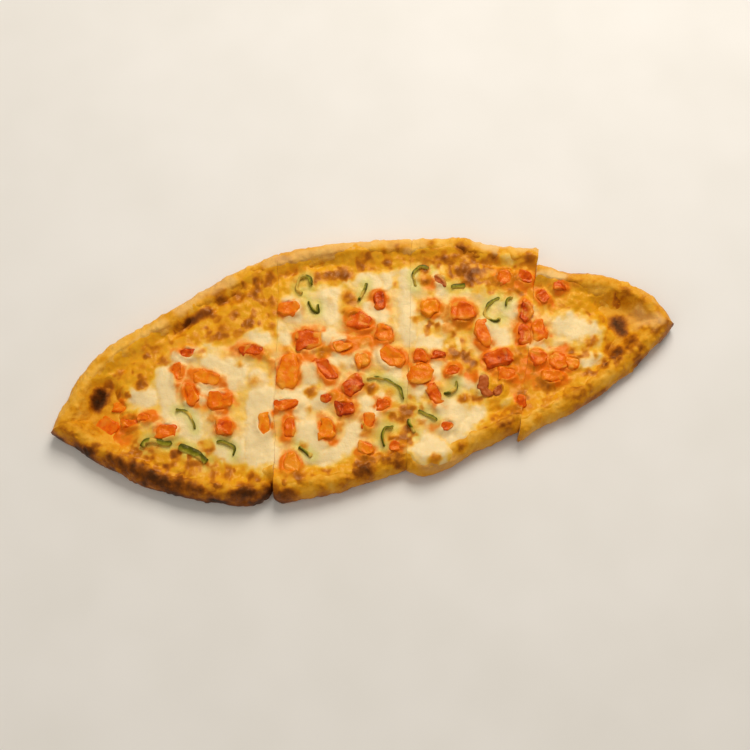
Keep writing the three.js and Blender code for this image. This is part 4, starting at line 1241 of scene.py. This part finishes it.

# %% [markdown]
# Baked wheat crust: the surface dries, turns gold, then brown, then black, in that order, so one
# ramp over the painted heat gives all of it. The same number carries the painted shade of the near
# side, so the ramp darkens it too. It is matt with a thin sheen of oil, and has pores about a
# millimetre wide. The crumb at a cut is paler and more open.

# %% Baked wheat crust
def crust_material():
    """Wheat crust: colour by the painted heat and painted shade, pale places, and crumb at the cuts."""
    made, tree, shader, place = new_material(
        "baked_wheat_crust", Roughness=0.5, Specular_IOR_Level=0.25,
        Specular_Tint=colour("FFD9A0"), Subsurface_Weight=0.06,
        Subsurface_Radius=(0.004, 0.002, 0.001))
    # This number holds the heat, the painted shade of the near side and the painted light of the yellow
    # strokes.
    heat = add_node(tree, "Attribute", attribute_name="bake", out="Fac")
    normal = None
    for size_mm, swing, depth_mm in ((3.2, 0.3, 0.6), (1.1, 0.14, 0.5)):
        grain = add_node(tree, "TexNoise", {"Vector": place, "Scale": 1 / (size_mm * MM),
                                            "Detail": 3.0, "Roughness": 0.55})
        lean = add_node(tree, "MapRange", {"Value": grain, "To Min": -swing / 2,
                                           "To Max": swing / 2})
        heat = add_node(tree, "Math", {0: heat, 1: lean}, operation="ADD")
        below = {"Normal": normal} if normal else {}
        normal = add_node(tree, "Bump", {"Height": grain, "Distance": depth_mm * MM,
                                         "Strength": 0.6, **below})
    baked = add_node(tree, "ValToRGB", {"Fac": heat}, ramp=[
        (0.0, "F6BE54"), (0.2, "ECAA30"), (0.38, "DE9412"), (0.54, "BE700A"),
        (0.7, "8C4806"), (0.85, "562804"), (1.0, "2A1104")])
    crumb = add_node(tree, "ValToRGB", {"Fac": grain}, ramp=[(0.3, "E4C48A"), (0.7, "F4E2B8")])
    pale_share = add_node(tree, "Attribute", attribute_name="pale", out="Fac")
    crumb_share = add_node(tree, "Attribute", attribute_name="crumb", out="Fac")
    outside = add_node(tree, "Mix", {0: pale_share, 6: baked, 7: colour("F0C47C")},
                       data_type="RGBA", out=2)
    tone = add_node(tree, "Mix", {0: crumb_share, 6: outside, 7: crumb}, data_type="RGBA", out=2)
    tree.links.new(tone, shader.inputs["Base Color"])
    tree.links.new(normal, shader.inputs["Normal"])
    return made


CRUST = crust_material()
cover(DOUGH, CRUST)
print("crust on", len(DOUGH), "slices")

# %% [markdown]
# Melted white cheese: pools of it are cream and slightly see-through, so light goes a millimetre or
# two into them. Between the pools it has taken up butter and the juice of the tomatoes and turned
# golden or orange, next to the pepper it is a little green, and where a bubble stood up it is
# brown. We start from the milky tone and lay these over it one after another.

# %% Melted white cheese
def cheese_material():
    """Melted cheese: milk, then juice, then a little green, then browning."""
    made, tree, shader, place = new_material(
        "melted_white_cheese", Roughness=0.36, Specular_IOR_Level=0.32,
        Specular_Tint=colour("FFE2B0"), Subsurface_Weight=0.12,
        Subsurface_Radius=(0.002, 0.0012, 0.0006))
    painted = {name: add_node(tree, "Attribute", attribute_name=name, out="Fac")
               for name in ("milk", "juice", "leaf", "brown")}
    fine = add_node(tree, "TexNoise", {"Vector": place, "Scale": 1 / (0.9 * MM), "Detail": 3.0})
    mottle = add_node(tree, "TexNoise", {"Vector": place, "Scale": 1 / (2.6 * MM), "Detail": 3.0})
    uneven = add_node(tree, "MapRange", {"Value": mottle, "To Min": -0.26, "To Max": 0.26})
    slight = add_node(tree, "MapRange", {"Value": mottle, "To Min": -0.1, "To Max": 0.1})
    richness = add_node(tree, "Math", {0: painted["milk"], 1: uneven}, operation="ADD")
    milk = add_node(tree, "ValToRGB", {"Fac": richness}, ramp=[
        (0.0, "E69E10"), (0.2, "ECAC20"), (0.42, "F0BC46"), (0.6, "F1C86E"), (0.8, "F2D08C"),
        (1.0, "F4DAA2")])
    stain = add_node(tree, "Math", {0: painted["juice"], 1: uneven}, operation="ADD")
    stain = add_node(tree, "MapRange", {"Value": stain, "From Min": 0.1, "From Max": 0.85},
                     interpolation_type="SMOOTHSTEP")
    orange = add_node(tree, "ValToRGB", {"Fac": stain}, ramp=[
        (0.0, "F4B44A"), (0.5, "F29A24"), (1.0, "EC780E")])
    tone = add_node(tree, "Mix", {0: stain, 6: milk, 7: orange}, data_type="RGBA", out=2)
    tone = add_node(tree, "Mix", {0: painted["leaf"], 6: tone, 7: colour("D2CC66")},
                    data_type="RGBA", out=2)
    heat = add_node(tree, "Math", {0: painted["brown"], 1: slight}, operation="ADD")
    browned = add_node(tree, "ValToRGB", {"Fac": heat}, ramp=[
        (0.1, "EC9E1C"), (0.28, "D47E0C"), (0.46, "B06208"), (0.7, "803E04"), (1.0, "321204")])
    cooked = add_node(tree, "MapRange", {"Value": heat, "From Min": 0.03, "From Max": 0.4},
                      interpolation_type="SMOOTHSTEP")
    tone = add_node(tree, "Mix", {0: cooked, 6: tone, 7: browned}, data_type="RGBA", out=2)
    tree.links.new(tone, shader.inputs["Base Color"])
    rough = add_node(tree, "Bump", {"Height": fine, "Distance": 0.3 * MM, "Strength": 0.5})
    normal = add_node(tree, "Bump", {"Height": mottle, "Distance": 0.5 * MM, "Strength": 0.5,
                                     "Normal": rough})
    tree.links.new(normal, shader.inputs["Normal"])
    return made


CHEESE_FINISH = cheese_material()
cover(CHEESE_PIECES, CHEESE_FINISH)
print("cheese on", len(CHEESE_PIECES), "slices")

# %% [markdown]
# Baked tomato is wet and orange to red, with light going in. The sausage is firmer, browner and
# oily. The pepper is dark on its skin and pale in its flesh. All three are wet flesh that a film
# of cheese partly covers, so one recipe makes them, with other colours and another shine.

# %% Flesh of the tomato, the sausage and the pepper
def flesh_material(name, driver, stops, film_colour, roughness):
    """A wet flesh: a ramp over a painted number, unevened by noise and wear, under some cheese."""
    made, tree, shader, place = new_material(
        name, Roughness=roughness, Specular_IOR_Level=0.3, Specular_Tint=colour("FFD9A0"),
        Subsurface_Weight=0.08, Subsurface_Radius=(0.0015, 0.0005, 0.0002))
    fine = add_node(tree, "TexNoise", {"Vector": place, "Scale": 1 / (0.8 * MM), "Detail": 3.0})
    mottle = add_node(tree, "TexNoise", {"Vector": place, "Scale": 1 / (2.2 * MM), "Detail": 3.0})
    uneven = add_node(tree, "MapRange", {"Value": mottle, "To Min": -0.4, "To Max": 0.4})
    wear = add_node(tree, "Attribute", attribute_name="wear", out="Fac")
    worn = add_node(tree, "MapRange", {"Value": wear, "To Min": -0.2, "To Max": 0.2})
    value = add_node(tree, "Attribute", attribute_name=driver, out="Fac")
    for more in (uneven, worn):
        value = add_node(tree, "Math", {0: value, 1: more}, operation="ADD")
    tone = add_node(tree, "ValToRGB", {"Fac": value}, ramp=stops)
    film = add_node(tree, "Attribute", attribute_name="film", out="Fac")
    film = add_node(tree, "Math", {0: film, 1: uneven}, operation="ADD")
    covered = add_node(tree, "MapRange", {"Value": film, "From Min": 0.25, "From Max": 1.1},
                       interpolation_type="SMOOTHSTEP")
    tone = add_node(tree, "Mix", {0: covered, 6: tone, 7: colour(film_colour)},
                    data_type="RGBA", out=2)
    tree.links.new(tone, shader.inputs["Base Color"])
    rough = add_node(tree, "Bump", {"Height": fine, "Distance": 0.25 * MM, "Strength": 0.6})
    normal = add_node(tree, "Bump", {"Height": mottle, "Distance": 0.5 * MM, "Strength": 0.6,
                                     "Normal": rough})
    tree.links.new(normal, shader.inputs["Normal"])
    return made


TOMATO_FLESH = flesh_material("baked_tomato_flesh", "ripe", [
    (0.0, "F28E10"), (0.3, "EE7408"), (0.6, "E05804"), (0.85, "C23E02"), (1.0, "9E2A02")],
    "F09A2C", 0.24)
SAUSAGE_MEAT = flesh_material("baked_sausage", "ripe", [
    (0.0, "CC6E30"), (0.5, "B0501A"), (1.0, "7A2E0A")], "E0A050", 0.36)
PEPPER_FLESH = flesh_material("baked_green_pepper", "skin", [
    (0.0, "C4B448"), (0.4, "8C8418"), (0.75, "5E5E0A"), (1.0, "464804")], "DCB44C", 0.34)
cover(TOMATO_PIECES + [SMALL_BITS], TOMATO_FLESH)
cover(SAUSAGE_PIECES, SAUSAGE_MEAT)
cover(PEPPER_PIECES + [SMALL_PEPPER], PEPPER_FLESH)
print("three wet finishes")

# %% [markdown]
# ## Put it together
# Every piece rides on the one body of the pide, and the solid that it stands for is hidden.

# %% Ride and replace
def place_piece(piece, slot, *nodes):
    """Let a piece ride on the pide and hide the solids that it stands for. The slot is not used."""
    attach(piece, "root")
    if nodes:
        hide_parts(*nodes)


for pieces, slot, node in (
        (DOUGH, "crust", "dough_{}"), (CHEESE_PIECES, "cheese", "cheese_{}"),
        (TOMATO_PIECES, "tomato", "tomato_{:02d}"), (SAUSAGE_PIECES, "sausage", "sausage_{:02d}"),
        (PEPPER_PIECES, "pepper", "pepper_{:02d}")):
    for i, piece in enumerate(pieces, 1):
        place_piece(piece, slot, node.format(i))
place_piece(SMALL_BITS, "tomato", "cheese_1", "cheese_2", "cheese_3", "cheese_4")
place_piece(SMALL_PEPPER, "pepper", "cheese_2", "cheese_3")
counts = {piece.name: sum(len(face.vertices) - 2 for face in piece.data.polygons)
          for piece in DOUGH + CHEESE_PIECES + [SMALL_BITS]}
print("triangles", counts)

# %% [markdown]
# ## Table and light
# The table is a plain pale sheet, large enough to fill the view. Its lacquer is matt and nearly
# even, with soft clouds about six centimetres wide, so that it doesn't look like empty paper.

# %% Floor
bpy.ops.mesh.primitive_plane_add(size=8, location=(0, 0, 0))
floor = bpy.context.object
floor.name = "pale_table"
table_top, tree, shader, place = new_material("pale_lacquer", Roughness=0.6)
cloud = add_node(tree, "TexNoise", {"Vector": place, "Scale": 1 / (60 * MM)})
table_tone = add_node(tree, "ValToRGB", {"Fac": cloud}, ramp=[(0.3, "E9E6E0"), (0.7, "EEEBE6")])
tree.links.new(table_tone, shader.inputs["Base Color"])
cover([floor], table_top)
print("table laid")

# %% [markdown]
# One large soft lamp behind and to the right gives the small wet highlights, and a broad one in
# front keeps the shadows open. A pale world fills in the rest. Sunlight would be easier to set up,
# but its hard shadows would hide the low relief of the cheese.

# %% Lamps
def softbox(name, place, size, power, tint):
    """A square lamp that points at the pide."""
    bpy.ops.object.light_add(type="AREA", location=place)
    lamp = bpy.context.object
    lamp.name = name
    lamp.data.shape = "SQUARE"
    lamp.data.size = size
    lamp.data.energy = power
    lamp.data.color = tint
    lamp.rotation_euler = (-Vector(place)).to_track_quat("-Z", "Y").to_euler()


softbox("back_window", (0.4, 0.75, 1.0), 0.7, 13, (1.0, 0.95, 0.88))
softbox("front_fill", (-0.7, -0.5, 1.1), 1.2, 2.5, (1.0, 0.98, 0.95))
world = bpy.data.worlds.new("soft_room")
bpy.context.scene.world = world
world.use_nodes = True
world.node_tree.nodes["Background"].inputs["Color"].default_value = colour("F6EEE2")
world.node_tree.nodes["Background"].inputs["Strength"].default_value = 0.36
bpy.context.scene.view_settings.view_transform = "Standard"
print("two lamps and a soft room")
